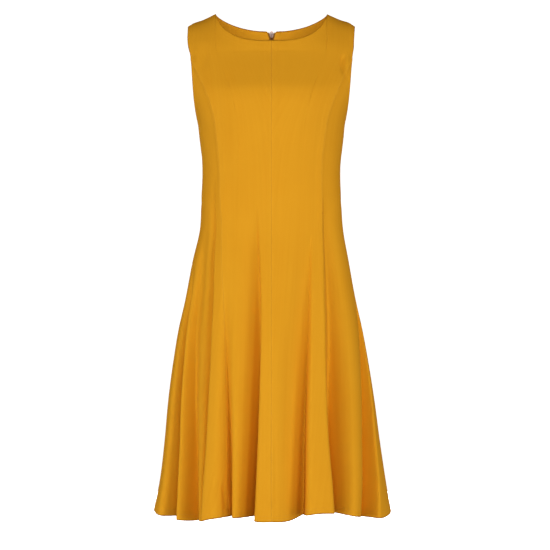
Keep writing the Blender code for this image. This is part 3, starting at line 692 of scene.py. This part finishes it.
def make_crepe(name, face, deep, painted_highlight, turned):
    """Noise pebbles as bump; streaks and slow clouds mix two close colours; two marks on the mesh
    mix in painted light: a lighter colour as painted highlight beside the seams, and a darker one as
    painted shade where the cloth turns under or away and in the seams."""
    finish, tree, shader = new_finish(name)
    cloth = add(tree, "UVMap", uv_map="cloth").outputs["UV"]
    spot = add(tree, "TexCoord").outputs["Object"]
    pebble_scale = add(tree, "Mapping", {"Scale": (1 / PEBBLE, 1 / PEBBLE_LONG, 1)}, {"Vector": cloth})
    pebbles = add(tree, "TexNoise", {"Scale": 1.0, "Detail": 2.0, "Roughness": 0.6},
                  {"Vector": pebble_scale.outputs[0]})
    streak_scale = add(tree, "Mapping", {"Scale": (1 / STREAK, 1 / STREAK_LONG, 1)}, {"Vector": cloth})
    streaks = add(tree, "TexNoise", {"Scale": 1.0, "Detail": 3.0}, {"Vector": streak_scale.outputs[0]})
    clouds = add(tree, "TexNoise", {"Scale": CLOUDS_A_METRE, "Detail": 2.0}, {"Vector": spot})
    both = add(tree, "Math", {}, {0: streaks.outputs[0], 1: clouds.outputs[0]}, operation="MULTIPLY")
    amount = add(tree, "MapRange", {"From Min": 0.12, "From Max": 0.42}, {"Value": both.outputs[0]})
    tone = add(tree, "Mix", {6: linear(face), 7: linear(deep)}, {0: amount.outputs[0]}, data_type="RGBA")
    colour = tone
    # painted light mixed into the colour: a lighter band beside the seams is painted highlight, a darker line
    # at turned edges and seams is painted shade
    for mark, marked in (("painted_highlight", painted_highlight), ("edge", turned)):
        amount = add(tree, "Attribute", attribute_name=mark).outputs["Fac"]
        colour = add(tree, "Mix", {7: linear(marked)}, {0: amount, 6: colour.outputs[2]}, data_type="RGBA")
    tree.links.new(colour.outputs[2], shader.inputs["Base Color"])
    bump = add(tree, "Bump", {"Strength": 0.35, "Distance": 0.12 * MM}, {"Height": pebbles.outputs[0]})
    tree.links.new(bump.outputs[0], shader.inputs["Normal"])
    rough = add(tree, "MapRange", {"To Min": 0.78, "To Max": 0.92}, {"Value": pebbles.outputs[0]})
    tree.links.new(rough.outputs[0], shader.inputs["Roughness"])
    shader.inputs["Specular IOR Level"].default_value = 0.15
    shader.inputs["Sheen Weight"].default_value = 0.06
    shader.inputs["Sheen Roughness"].default_value = 0.45
    shader.inputs["Sheen Tint"].default_value = linear("#FFC040")
    return finish


# the last two colours are painted light: painted highlight beside the seams, and painted shade where the
# cloth turns under and in the seams
crepe = make_crepe("mustard_crepe", "#E5A11D", "#E29C19", "#EAA927", "#9A5E10")

# %% [markdown]
# ## Cutting the panels
#
# Each panel is its net on the surface, pushed by the relief of its seams, edges and creases. The
# hem is turned up inside by 15 mm, as it is on the real dress: the same cloth carries on round the
# fold, so the first rows of the grid climb down inside, go round a small half circle and come up
# outside. That gives the hem its soft lower edge; its slightly dark line is partly the fold's own
# shade and partly painted shade in the colour of those rows.

# %% Cut the panels
TURNED_OFFSET = 2 * CLOTH + 0.1 * MM      # of the turned layer's face from the outer face
TURNING_ROWS = np.array([15, 14.4, 11.5, 8.5, 6, 3.6, 1.5]) * MM
TURNING_ARC = np.radians([150, 115, 80, 50, 22])
EDGE_SHADE = 3.0 * MM                     # width of the painted shade, a darker line where the cloth turns under
SEAM_SHADE = 1.0 * MM                     # and of the painted shade where it dips into a seam
PAINTED_HIGHLIGHT_START, PAINTED_HIGHLIGHT_FADE = 0.8 * MM, 3.0 * MM    # painted highlight: the lighter band, from the seam outwards, where the seam's ridge catches light
PAINTED_HIGHLIGHT_SHARE, SEAM_SHARE, SHOULDER_SHARE, FACING_SHARE = 0.45, 0.2, 0.8, 0.8   # how far each mark goes: the painted highlight, then the painted shade at seams, shoulder and facing
CALM_EDGE = 20 * MM                       # the long waves fade out this near a faced edge
SEAM_CLOSES = 12 * MM                     # a princess seam's relief fades in over this run


def turned_rows(run):
    """Rows for the hem's turning, inside first: (run, inward offset). The straight part lies
    TURNED_OFFSET inside; the fold is half a circle of that diameter."""
    radius = TURNED_OFFSET / 2
    rise = np.concatenate([TURNING_ROWS, radius * (1 - np.sin(TURNING_ARC))])
    inset = np.concatenate([np.full(len(TURNING_ROWS), 2 * radius), radius * (1 - np.cos(TURNING_ARC))])
    return run[:1] + rise[:, None], np.broadcast_to(inset[:, None], (len(rise), run.shape[1]))


def arc_lengths(points, axis):
    """Distance travelled along one axis of the grid, from its first row or column."""
    steps = np.linalg.norm(np.diff(points, axis=axis), axis=-1)
    passed = np.cumsum(steps, axis=axis)
    lead = np.zeros_like(np.take(passed, [0], axis=axis))
    return np.concatenate([lead, passed], axis=axis)


def distance_to_line(points, line):
    """Distance from each point to the nearest of a line's points, after the line is filled in."""
    fine = np.linspace(0, len(line) - 1, 6 * len(line))
    dense = np.stack([np.interp(fine, np.arange(len(line)), line[:, k]) for k in range(3)], -1)
    flat = points.reshape(-1, 3)
    square = (flat**2).sum(1)[:, None] + (dense**2).sum(1)[None] - 2 * flat @ dense.T
    return np.sqrt(np.maximum(square.min(1), 0)).reshape(points.shape[:-1])


def open_edge(panel, points, run):
    """The faced edge of a panel as a line: its armhole, and on a centre panel its neck too."""
    if "centre" not in panel.name:
        return [points[-1]]
    princess = 0 if panel.first_seam.startswith("princess") else -1
    above = run[:, princess] > SEAM_START_HEIGHT - SHOULDER_BREAK
    in_neck = run[-1] < SHOULDER_RUN - 0.01 * MM
    return [points[above, princess], points[-1, in_neck]]


def panel_points(panel):
    """The panel's finished outer face, its cloth coordinates in metres and its two marks of painted
    light, which fade from 1 at a seam or an edge to 0 at the width of the line they stand for: painted
    highlight beside the seams, and painted shade at the turned edges, the seams and the shoulder."""
    bearing, run, side = panel_net(panel)
    points = surface(bearing, run, side)
    out = directions(bearing, run, side)[2]
    from_first = arc_lengths(points, 1)
    from_last = from_first[:, -1:] - from_first
    from_top = arc_lengths(points[::-1], 0)[::-1]
    to_edges = [distance_to_line(points, line) for line in open_edge(panel, points, run)]
    faced = np.minimum.reduce(to_edges)
    to_painted_shade_edges = to_edges[0] if "front" in panel.name else faced    # edges that get painted shade; the front neck's rim is light, so it gets none

    seam_end = SEAM_START_HEIGHT - SHOULDER_BREAK
    from_hem = arc_lengths(points, 0)
    relief = crease_relief(points, out) + gentle_relief(points) * ease(faced / CALM_EDGE)
    painted_highlight = np.zeros(run.shape)
    # painted shade: a darker line where the cloth turns under, at the hem and the faced edges
    edge = 1 - ease(np.minimum(to_painted_shade_edges, from_hem) / EDGE_SHADE)
    for seam, distance in ((panel.first_seam, from_first), (panel.last_seam, from_last)):
        sewn = ease((seam_end - run) / SEAM_CLOSES) if seam.startswith("princess") else 1.0
        relief += sewn * seam_relief(seam, distance)
        # painted highlight: a lighter band beside the seam, for the light its ridge catches
        painted_highlight = np.maximum(painted_highlight, sewn * (1 - ease((distance - PAINTED_HIGHLIGHT_START) / PAINTED_HIGHLIGHT_FADE)))
        # painted shade in the seam's dip
        edge = np.maximum(edge, SEAM_SHARE * sewn * (1 - ease(distance / SEAM_SHADE)))
    if "centre" in panel.name:
        on_shoulder = ease((run[-1] - SHOULDER_RUN + 4 * MM) / (4 * MM))
        relief += on_shoulder * seam_relief("shoulder", from_top)
        # painted shade along the shoulder ridge, where the cloth turns away
        edge = np.maximum(edge, SHOULDER_SHARE * on_shoulder * (1 - ease(from_top / EDGE_SHADE)))
    relief += edge_relief(faced) + hem_relief(from_hem)
    points = points + out * relief[..., None]

    turned_run, inset = turned_rows(run)
    turned = surface(bearing, turned_run, side)
    turned_out = directions(bearing, turned_run, side)[2]
    turned = turned + turned_out * (relief[:1] - inset)[..., None]
    whole = np.concatenate([turned, points])
    width = from_first - from_first[:, COLUMNS // 2, None]
    width = np.concatenate([np.broadcast_to(width[:1], turned_run.shape), width])
    uv = np.stack([width, np.concatenate([turned_run, run])], -1)
    # the marks: no painted highlight on the turning; painted shade round the hem's fold and along the edges
    # and seams
    flat_part = np.zeros((len(TURNING_ROWS), run.shape[1]))
    fold = np.ones((len(TURNING_ARC), run.shape[1]))
    marks = {"painted_highlight": np.concatenate([flat_part, 0 * fold, PAINTED_HIGHLIGHT_SHARE * painted_highlight]),
             "edge": np.concatenate([flat_part, fold, edge])}
    return whole, uv, marks


outer_faces = {}
for panel in PANELS:
    points, uv, marks = panel_points(panel)
    outer_faces[panel.name] = points[len(TURNING_ROWS) + len(TURNING_ARC):]
    mesh = grid_mesh(panel.name + "_cloth", points, uv, marks)
    piece = place(panel.name + "_cloth", mesh, crepe, replaces=[panel.name])
    thicken(piece, CLOTH)
    print(piece.name, len(mesh.polygons), "quads")

# %% [markdown]
# ## The back neck's facing
#
# Through the front neck we look onto the inside of the back, where a facing of the same crepe
# finishes the neck. It is sewn to the panel along the neck edge and turned inside, so its top rolls
# over with the panel's, and it lies flat a millimetre further in. It comes from the panel's own
# surface, moved inwards, with its face towards the wearer.

# %% Cut the facing
FACING_START = 180.0          # bearing of its end, on the edge of the zip's opening
FACING_DEPTH = 45 * MM
FACING_COLUMNS, FACING_ROWS = 60, 24
FACING_THICKNESS = 0.8 * MM


def facing_points(side):
    """Rows from the neck edge down, offset inwards by the cloth and then a millimetre more; beside
    the zip it passes over the tape."""
    outer = neck_point_bearing(180.0, 153.0)
    bearing = np.linspace(FACING_START, outer, FACING_COLUMNS + 1) * side
    top = neck_run(bearing)
    down = (np.linspace(0, 1, FACING_ROWS + 1) ** 1.6)[:, None]
    depth = FACING_DEPTH * (1 - 0.25 * ease(np.abs(180 - np.abs(bearing)) / 20))
    run = top - 0.4 * MM - down * depth
    points = surface(bearing, run, side)
    out = directions(bearing, run, side)[2]
    below_edge = arc_lengths(points, 0)
    lies_in = CLOTH + 0.1 * MM + FACING_THICKNESS + 0.7 * MM * (1 - np.exp(-below_edge / (5 * MM)))
    from_zip = arc_lengths(points, 1)
    over_tape = 0.9 * MM * (1 - ease((from_zip - 11 * MM) / (5 * MM)))
    inside = points - out * (lies_in + over_tape)[..., None]
    uv = np.stack(np.broadcast_arrays(from_zip[0], -below_edge[:, :1]), -1)
    return inside, uv


for side, word in ((-1, "left"), (1, "right")):
    points, uv = facing_points(side)
    name = f"neck_facing_back_{word}"
    points, uv = (points[:, ::-1], uv[:, ::-1]) if side > 0 else (points, uv)
    # the facing's top edge carries painted shade, a darker line; it gets no painted highlight
    marks = {"painted_highlight": np.zeros(points.shape[:2]),
             "edge": FACING_SHARE * (1 - ease(-uv[..., 1] / EDGE_SHADE))}
    mesh = grid_mesh(name + "_cloth", points, uv, marks)
    piece = place(name + "_cloth", mesh, crepe, replaces=[name])
    thicken(piece, FACING_THICKNESS)
    print(piece.name, "faces in:", mesh.polygons[len(mesh.polygons) // 2].normal[1] < 0)

# %% [markdown]
# ## The hem's stitching
#
# Two lines of stitches hold the turned hem. Each stitch is a short tube of thread that comes out of
# the cloth, lies in the dent that the line of stitches makes, and goes in again; it has five sides,
# because there are well over a thousand of them. A drawn line would do from afar, but the thread
# catches its own light from close by.

# %% Stitch the hem
STITCH_LENGTH, STITCH_PITCH = 2.2 * MM, 3.0 * MM
THREAD_RADIUS = 0.17 * MM
TWIST_SCALE = 1 / (20 * 0.5 * MM)         # of the wave texture that draws the thread's twist
STITCH_STATIONS = np.array([0, 0.25, 0.75, 1])
STITCH_LIFT = np.array([-0.12, 0.10, 0.10, -0.12]) * MM


def hem_stitches(points, height):
    """Rings of one panel's stitches along the line `height` above the hem on its outer face."""
    climbed = arc_lengths(points, 0)
    above = (climbed > height).argmax(0)
    thread = np.arange(points.shape[1])
    step = climbed[above, thread] - climbed[above - 1, thread]
    share = ((height - climbed[above - 1, thread]) / step)[:, None]
    line = points[above - 1, thread] * (1 - share) + points[above, thread] * share
    up = points[above, thread] - points[above - 1, thread]
    out = np.cross(np.gradient(line, axis=0), up)
    out /= np.linalg.norm(out, axis=1, keepdims=True)
    passed = arc_lengths(line, 0)
    starts = np.arange(STITCH_PITCH / 2, passed[-1] - STITCH_LENGTH, STITCH_PITCH)
    at = starts[:, None] + STITCH_LENGTH * STITCH_STATIONS
    path = np.stack([np.interp(at, passed, line[:, k]) for k in range(3)], -1)
    outwards = np.stack([np.interp(at, passed, out[:, k]) for k in range(3)], -1)
    path = path + outwards * STITCH_LIFT[:, None]
    return tubes(path, THREAD_RADIUS * np.array([0.6, 1, 1, 0.6]), 5, (0, 0, 1))


def make_thread(name, colour):
    """Twisted sewing thread: slanting bands as bump, with a slight sheen."""
    finish, tree, shader = new_finish(name)
    shader.inputs["Base Color"].default_value = linear(colour)
    spot = add(tree, "TexCoord").outputs["Object"]
    twist = add(tree, "TexWave", {"Scale": TWIST_SCALE, "Distortion": 1.0}, {"Vector": spot},
                bands_direction="DIAGONAL")
    bump = add(tree, "Bump", {"Strength": 0.4, "Distance": 0.05 * MM}, {"Height": twist.outputs[1]})
    tree.links.new(bump.outputs[0], shader.inputs["Normal"])
    shader.inputs["Roughness"].default_value = 0.6
    shader.inputs["Sheen Weight"].default_value = 0.1
    return finish


sewing_thread = make_thread("mustard_sewing_thread", "#DA9820")
stitches = np.concatenate([hem_stitches(face, line) for face in outer_faces.values()
                           for line in STITCH_LINES])
stitch_mesh = solid_mesh("hem_stitching", [loft(stitches, "capped")], 60)
place("hem_stitching", stitch_mesh, sewing_thread)
print("stitches in the hem:", len(stitches))

# %% [markdown]
# ## The zip's tapes
#
# A concealed zip is sewn in under the edges of the centre back. Its two tapes are woven and stiff,
# and drawn darker than the crepe: that dark brown is painted shade, for the shade they lie in
# inside the dress. At the top, where the slider stands, they part with the neck, and that is the
# dark strip which shows on either side of the slider. They follow the dress's own surface beside
# the centre-back line, moved inwards past the cloth's thickness.

# %% Cut the tapes
TAPE_WIDTH, TAPE_THICKNESS, TAPE_CUT_LENGTH = 12 * MM, 0.5 * MM, 0.468
TAPE_INSET = CLOTH + 0.3 * MM             # of its outer face from the cloth's face
TAPE_TOP = -0.0131
TAPE_PARTS_AT = -0.023                    # above this height the two tapes part
TAPE_PARTING, TAPE_PARTED = 0.62, 6.5 * MM    # sideways for each metre up, and at most
WEAVE_SCALE = 1 / (20 * 0.8 * MM) * 3.14  # of the wave textures that draw the tape's weave


def back_run(height):
    """The run at which the centre-back line is at a height, read off the line itself."""
    line = np.linspace(-ZIP_LENGTH, SHOULDER_RUN, 3000)
    return np.interp(height, surface(180.0, line, 0)[:, 2], line)


def beside_zip(across, run, inward, side):
    """Points `across` metres to one side of the centre-back line and `inward` of the cloth's face.
    They part sideways by TAPE_PARTING for each metre above TAPE_PARTS_AT, as the zip opens."""
    across, run, inward = np.broadcast_arrays(across, run, inward)
    middle = np.full(run.shape, 180.0 * side)
    degree = np.linalg.norm(surface(middle, run, 0) - surface(middle - side, run, 0), axis=-1)
    bearing = middle - side * across / degree
    points = surface(bearing, run, 0)
    waves = gentle_relief(points) * ease((NECK_POINT_HEIGHT - BACK_NECK_DROP - points[..., 2]) / (20 * MM))
    points = points + directions(bearing, run, 0)[2] * (waves - inward)[..., None]
    points[..., 0] += side * np.clip(TAPE_PARTING * (points[..., 2] - TAPE_PARTS_AT), 0, TAPE_PARTED)
    return points


def make_tape(name, colour):
    """Plain weave: bands across and along, multiplied, as bump and a slight shade."""
    finish, tree, shader = new_finish(name)
    cloth = add(tree, "UVMap", uv_map="cloth").outputs["UV"]
    bands = [add(tree, "TexWave", {"Scale": WEAVE_SCALE}, {"Vector": cloth}, bands_direction=direction)
             for direction in ("X", "Y")]
    weave = add(tree, "Math", {}, {0: bands[0].outputs[1], 1: bands[1].outputs[1]}, operation="MULTIPLY")
    tone = add(tree, "Mix", {6: linear(colour), 7: linear("#B07A24")}, {0: weave.outputs[0]},
               data_type="RGBA")
    tree.links.new(tone.outputs[2], shader.inputs["Base Color"])
    bump = add(tree, "Bump", {"Strength": 0.5, "Distance": 0.1 * MM}, {"Height": weave.outputs[0]})
    tree.links.new(bump.outputs[0], shader.inputs["Normal"])
    shader.inputs["Roughness"].default_value = 0.8
    return finish


# painted shade: the tape's dark brown stands for the shade it lies in inside the dress
zip_tape = make_tape("woven_zip_tape", "#8E5C12")
tape_heights = np.linspace(TAPE_TOP - TAPE_CUT_LENGTH, TAPE_TOP, 118)[:, None]
for side, word in ((-1, "left"), (1, "right")):
    across = np.linspace(0.2 * MM, TAPE_WIDTH, 7)[::-side]
    points = beside_zip(across, back_run(tape_heights), TAPE_INSET, side)
    uv = np.stack(np.broadcast_arrays(across, tape_heights), -1)
    name = f"zip_tape_{word}"
    piece = place(name + "_woven", grid_mesh(name + "_woven", points, uv), zip_tape,
                  replaces=[name])
    thicken(piece, TAPE_THICKNESS)
    print(piece.name, "faces out:", piece.data.polygons[300].normal[1] > 0)

# %% [markdown]
# ## The zip's coil
#
# Along the inner edge of each tape runs a coil of nylon wire, and the turns of one lock between the
# turns of the other. Each is a flattened helix along the tape, 1.3 mm a turn, and the right one is
# half a turn ahead. It starts below the slider, where the two are locked.

# %% Wind the coils
COIL_PITCH, WIRE_RADIUS = 1.3 * MM, 0.28 * MM
COIL_TOP = -0.0232
COIL_MIDDLE, COIL_HALF_WIDTH = 0.8 * MM, 1.5 * MM     # across, from the centre-back line
COIL_INSET, COIL_HALF_DEPTH = 2.65 * MM, 0.65 * MM
POINTS_A_TURN = 8


def coil_path(side):
    """A helix in (across, down, inward): across = middle + half-width cos(turn), inward = inset +
    half-depth sin(turn), down = pitch x turn / 360."""
    runs = np.linspace(back_run(COIL_TOP), back_run(TAPE_TOP - TAPE_CUT_LENGTH), 800)
    passed = arc_lengths(surface(180.0, runs, 0), 0)
    turns = np.arange(0, (passed[-1] / COIL_PITCH - 1), 1 / POINTS_A_TURN)
    run = np.interp((turns + (0.5 if side > 0 else 0)) * COIL_PITCH, passed, runs)
    angle = 2 * np.pi * turns
    across = COIL_MIDDLE + COIL_HALF_WIDTH * np.cos(angle)
    return beside_zip(across, run, COIL_INSET + COIL_HALF_DEPTH * np.sin(angle), side)


def make_nylon(name, colour):
    """Dyed nylon wire: smooth, faintly clouded, a little uneven in its shine."""
    finish, tree, shader = new_finish(name)
    spot = add(tree, "TexCoord").outputs["Object"]
    clouds = add(tree, "TexNoise", {"Scale": 1 / (2 * MM), "Detail": 2.0}, {"Vector": spot})
    tone = add(tree, "Mix", {6: linear(colour), 7: linear("#6B4210")}, {0: clouds.outputs[0]},
               data_type="RGBA")
    tree.links.new(tone.outputs[2], shader.inputs["Base Color"])
    rough = add(tree, "MapRange", {"To Min": 0.32, "To Max": 0.5}, {"Value": clouds.outputs[0]})
    tree.links.new(rough.outputs[0], shader.inputs["Roughness"])
    return finish


nylon = make_nylon("dyed_nylon_coil", "#7E5012")
coils = [tubes(coil_path(side)[None], WIRE_RADIUS, 5, (0, 0, 1)) for side in (-1, 1)]
coil_mesh = solid_mesh("zip_coil", [loft(coil, "capped") for coil in coils], 80)
place("zip_coil", coil_mesh, nylon)
print("zip coil:", len(coil_mesh.polygons), "faces")

# %% [markdown]
# ## Slider and pull tab
#
# The slider is cast: two shield-shaped plates joined by a narrow core, with the coils' channel
# between them, and a bridge on the back for the tab. Only the plate on the inside shows through the
# neck. Both parts are lofted from outlines in millimetres. The tab is one ring of metal round its
# eye, drawn as a section that goes once round from the rim to the eye and back.

# %% The slider's frame and outlines
SLIDER_HEIGHT = -0.0170
SLIDER_CENTRE_INSET = 1.3 * MM            # of the slider's middle from the cloth's face
SLIDER_HALF_OUTLINE = ((0.9, 6.5), (2.6, 5.2), (4.2, 2.8), (4.5, 0.4), (3.8, -3.0), (2.8, -6.5))
SLIDER_PROFILE = (                        # (through the slider, in from the outline), millimetres
    (-1.6, 0.35), (-1.5, 0.1), (-1.3, 0), (-0.75, 0), (-0.65, 0.15), (-0.6, 0.8),
    (0.6, 0.8), (0.65, 0.15), (0.75, 0), (1.3, 0), (1.5, 0.1), (1.6, 0.35),
)
PIVOT_UP, PIVOT_OUT = 1.0 * MM, 1.95 * MM  # the tab's hinge from the middle of the cloth's face
BRIDGE_RADIUS, BRIDGE_SECTION = 2.2, ((-0.6, -1.0), (-0.6, 1.0), (-0.4, 1.2), (0.4, 1.2),
                                      (0.6, 1.0), (0.6, -1.0), (0.4, -1.2), (-0.4, -1.2))
TAB_HALF_OUTLINE = ((1.9, 0.6), (2.9, -0.4), (3.0, -3.6), (2.4, -5.4), (2.2, -8.0), (3.0, -13.0),
                    (3.4, -17.0), (2.9, -19.4), (1.4, -20.8))
EYE_HALF_OUTLINE = ((1.3, -0.45), (1.6, -0.75), (1.6, -3.3), (1.3, -3.6))
EYE_MIDDLE = np.array([0, -2.05])
TAB_FROM_RIM = ((0, 0), (0.05, 0.28), (0.2, 0.42), (0.35, 0.45), (0.6, 0.45), (0.8, 0.36))
TAB_FROM_EYE = ((0.25, 0.36), (0.1, 0.32), (0.02, 0.18), (0, 0))


def closed_outline(half, count, rounds):
    """Even points round a mirrored half outline, its corners softened by averaging `rounds` times."""
    corners = np.array(list(half) + [(-x, y) for x, y in reversed(half)], float)
    corners = np.concatenate([corners, corners[:1]])
    passed = arc_lengths(corners, 0)
    at = np.linspace(0, passed[-1], count, endpoint=False)
    points = np.stack([np.interp(at, passed, corners[:, k]) for k in range(2)], -1)
    for _ in range(rounds):
        points = (np.roll(points, 1, 0) + 2 * points + np.roll(points, -1, 0)) / 4
    return points


def to_zip(across, up, inward):
    """Millimetres in the slider's frame to metres in the dress's: a point of the centre-back line,
    then across it, up along the cloth and inwards."""
    run = back_run(SLIDER_HEIGHT)
    _, climbs, out = directions(180.0, run, 0)
    across, up, inward = np.broadcast_arrays(across, up, inward)
    sideways = np.array([1.0, 0, 0])
    climbs = np.cross(sideways, out)
    turned = across[..., None] * sideways + up[..., None] * climbs - inward[..., None] * out
    return surface(180.0, run, 0) + turned * MM


def slider_loft():
    """The outline at each depth of SLIDER_PROFILE, moved in along its own normal."""
    outline = closed_outline(SLIDER_HALF_OUTLINE, 56, 2)
    along = np.roll(outline, -1, 0) - np.roll(outline, 1, 0)
    normal = np.stack([along[:, 1], -along[:, 0]], -1) / np.linalg.norm(along, axis=1)[:, None]
    normal *= np.sign((normal * outline).sum())
    depth, inset = np.array(SLIDER_PROFILE).T
    flat = outline[None] - normal[None] * inset[:, None, None]
    return to_zip(flat[..., 0], flat[..., 1], depth[:, None] + SLIDER_CENTRE_INSET / MM)


def bridge_loft():
    """BRIDGE_SECTION, in (radial, across), carried once round the hinge."""
    turn = np.linspace(0, 2 * np.pi, 28, endpoint=False)[:, None]
    radial, across = np.array(BRIDGE_SECTION).T
    reach = BRIDGE_RADIUS + radial
    return to_zip(across, PIVOT_UP / MM + reach * np.cos(turn), reach * np.sin(turn) - PIVOT_OUT / MM)


def tab_loft():
    """From the rim to the eye on one face and back on the other: rim + share (eye - rim), where
    the share is so many millimetres from either end."""
    rim = closed_outline(TAB_HALF_OUTLINE, 96, 2)
    eye = closed_outline(EYE_HALF_OUTLINE, 240, 8) - EYE_MIDDLE
    angle, reach = np.arctan2(eye[:, 0], eye[:, 1]), np.hypot(*eye.T)
    rays = rim - EYE_MIDDLE
    eye_line = np.array(sorted(zip(angle, reach))).T
    toward = np.interp(np.arctan2(rays[:, 0], rays[:, 1]), *eye_line, period=2 * np.pi)
    direction = rays / np.linalg.norm(rays, axis=1, keepdims=True)
    length = np.linalg.norm(rays, axis=1) - toward
    face = [(length - d, z) for d, z in TAB_FROM_RIM] + [(np.full(96, d), z) for d, z in TAB_FROM_EYE]
    face += [(d, -z) for d, z in face[-2:0:-1]]
    flat = np.stack([EYE_MIDDLE + direction * (toward + d)[:, None] for d, _ in face])
    through = np.array([z for _, z in face])[:, None]
    return to_zip(flat[..., 0], PIVOT_UP / MM + flat[..., 1], through - PIVOT_OUT / MM)


LACQUERED = 0.65              # a milky lacquer over the nickel scatters the rest of the light


def make_nickel(name, colour):
    """Satin nickel plate: fine scratches stretched along the part as bump, and an uneven polish."""
    finish, tree, shader = new_finish(name)
    spot = add(tree, "TexCoord").outputs["Object"]
    drawn = add(tree, "Mapping", {"Scale": (1 / (0.12 * MM), 1 / (0.12 * MM), 1 / (2.5 * MM))},
                {"Vector": spot})
    scratches = add(tree, "TexNoise", {"Scale": 1.0, "Detail": 3.0}, {"Vector": drawn.outputs[0]})
    polish = add(tree, "TexNoise", {"Scale": 1 / (3 * MM), "Detail": 2.0}, {"Vector": spot})
    rough = add(tree, "MapRange", {"To Min": 0.34, "To Max": 0.54}, {"Value": polish.outputs[0]})
    bump = add(tree, "Bump", {"Strength": 0.25, "Distance": 0.02 * MM}, {"Height": scratches.outputs[0]})
    tree.links.new(rough.outputs[0], shader.inputs["Roughness"])
    tree.links.new(bump.outputs[0], shader.inputs["Normal"])
    shader.inputs["Base Color"].default_value = linear(colour)
    shader.inputs["Metallic"].default_value = LACQUERED
    return finish


nickel = make_nickel("satin_nickel", "#DCC8BE")
slider_parts = [loft(slider_loft()[None], "capped"), loft(bridge_loft()[None], "joined")]
slider_mesh = solid_mesh("zip_slider_cast", slider_parts)
place("zip_slider_cast", slider_mesh, nickel, replaces=["zip_slider"])
tab_mesh = solid_mesh("zip_pull_tab_stamped", [loft(tab_loft()[None], "joined")])
place("zip_pull_tab_stamped", tab_mesh, nickel, body="pull_tab", replaces=["zip_pull_tab"])
print("pull tab:", len(tab_mesh.polygons), "faces, in the body pull_tab")

# %% [markdown]
# ## Studio
#
# The dress stands before plain white paper that runs down into the floor in one sweep. The camera
# is level with the middle of the dress. Wide soft boxes stand all round it at about its own height,
# the strongest behind it. Of the two at its sides the left one is stronger, and of the two slanting
# ones in front the right one. None is above it, so the chest, which leans back, is darker. A small
# card over the neck lights the inside of the back neck.

# %% Paper
FLOOR_HEIGHT = -1.45
PAPER_RADIUS, PAPER_TOP, PAPER_CURVE = 9.0, 9.0, 2.0


def sweep_profile(count=24):
    """From the middle of the floor outwards, a quarter circle up, then the wall: (radius, z)."""
    turn = np.linspace(0, np.pi / 2, count)
    curve = np.stack([PAPER_RADIUS - PAPER_CURVE + PAPER_CURVE * np.sin(turn),
                      FLOOR_HEIGHT + PAPER_CURVE * (1 - np.cos(turn))], -1)
    start, end = np.array([[0.001, FLOOR_HEIGHT]]), np.array([[PAPER_RADIUS, PAPER_TOP]])
    return np.concatenate([start, curve, end])


profile = sweep_profile()
around = np.linspace(0, 2 * np.pi, 97)
paper_points = np.stack([
    profile[:, :1] * np.sin(around),
    -profile[:, :1] * np.cos(around),
    np.broadcast_to(profile[:, 1:], (len(profile), len(around))),
], -1)
paper_finish, _, paper_shader = new_finish("matt_white_paper")
paper_shader.inputs["Base Color"].default_value = linear("#F4F4F2")
paper_shader.inputs["Roughness"].default_value = 0.95
paper_shader.inputs["Emission Color"].default_value = (1, 1, 1, 1)
paper_shader.inputs["Emission Strength"].default_value = 1.0
paper_mesh = grid_mesh("paper_sweep", paper_points, paper_points[..., :2])
paper_mesh.materials.append(paper_finish)
paper = bpy.data.objects.new("paper_sweep", paper_mesh)
bpy.context.scene.collection.objects.link(paper)
paper.visible_diffuse = False
paper.visible_glossy = False
paper.visible_shadow = False

# %% Lights and camera
Lamp = namedtuple("Lamp", "name position aim size_x size_y watts")
LAMPS = (
    Lamp("front_softbox", (0.0, -4.2, -0.9), (0, 0, -0.5), 1.6, 1.6, 46),
    Lamp("left_softbox", (-2.2, -3.6, -0.6), (0, 0, -0.5), 1.4, 2.0, 23),
    Lamp("right_softbox", (2.2, -3.6, -0.6), (0, 0, -0.5), 1.4, 2.0, 46),
    Lamp("left_fill", (-3.5, -1.9, -0.4), (0, 0, -0.5), 1.4, 2.2, 66),
    Lamp("right_fill", (3.5, -1.9, -0.4), (0, 0, -0.5), 1.4, 2.2, 48),
    Lamp("back_softbox", (0.0, 4.2, -0.4), (0, 0, -0.5), 2.6, 2.2, 110),
    Lamp("neck_card", (0.0, -0.12, 0.06), (0, 0.09, -0.03), 0.14, 0.05, 0.04),
)
CARD_SPREAD = 70              # degrees; the card lights the back neck and not the chest
WORLD_STRENGTH = 0.07
SURROUND = "#FFD08A"          # light that the cloth has already warmed, which fills its own hollows


def aim(thing, position, target):
    """Put a thing at a position and turn its -Z axis to a target."""
    thing.location = position
    thing.rotation_euler = (Vector(target) - Vector(position)).to_track_quat("-Z", "Y").to_euler()


for lamp in LAMPS:
    light = bpy.data.lights.new(lamp.name, "AREA")
    light.shape = "RECTANGLE"
    light.size = lamp.size_x
    light.size_y = lamp.size_y
    light.energy = lamp.watts
    holder = bpy.data.objects.new(lamp.name, light)
    bpy.context.scene.collection.objects.link(holder)
    aim(holder, lamp.position, lamp.aim)
    if lamp.name == "neck_card":
        light.spread = np.radians(CARD_SPREAD)
        holder.visible_camera = False

world = bpy.data.worlds.new("studio")
world.use_nodes = True
world.node_tree.nodes["Background"].inputs["Color"].default_value = linear(SURROUND)
world.node_tree.nodes["Background"].inputs["Strength"].default_value = WORLD_STRENGTH
bpy.context.scene.world = world

PHOTO_SIDE = 550
FOCAL_PIXELS = 1800           # one metre at one metre covers this many pixels
camera_data = bpy.data.cameras.new("camera")
camera_data.sensor_width = 36
camera_data.lens = FOCAL_PIXELS / PHOTO_SIDE * camera_data.sensor_width
camera = bpy.data.objects.new("camera", camera_data)
bpy.context.scene.collection.objects.link(camera)
camera.location = (0.007, -3.6, -0.509)
camera.rotation_euler = (np.pi / 2, 0, 0)
bpy.context.scene.camera = camera
bpy.context.scene.view_settings.view_transform = "Standard"
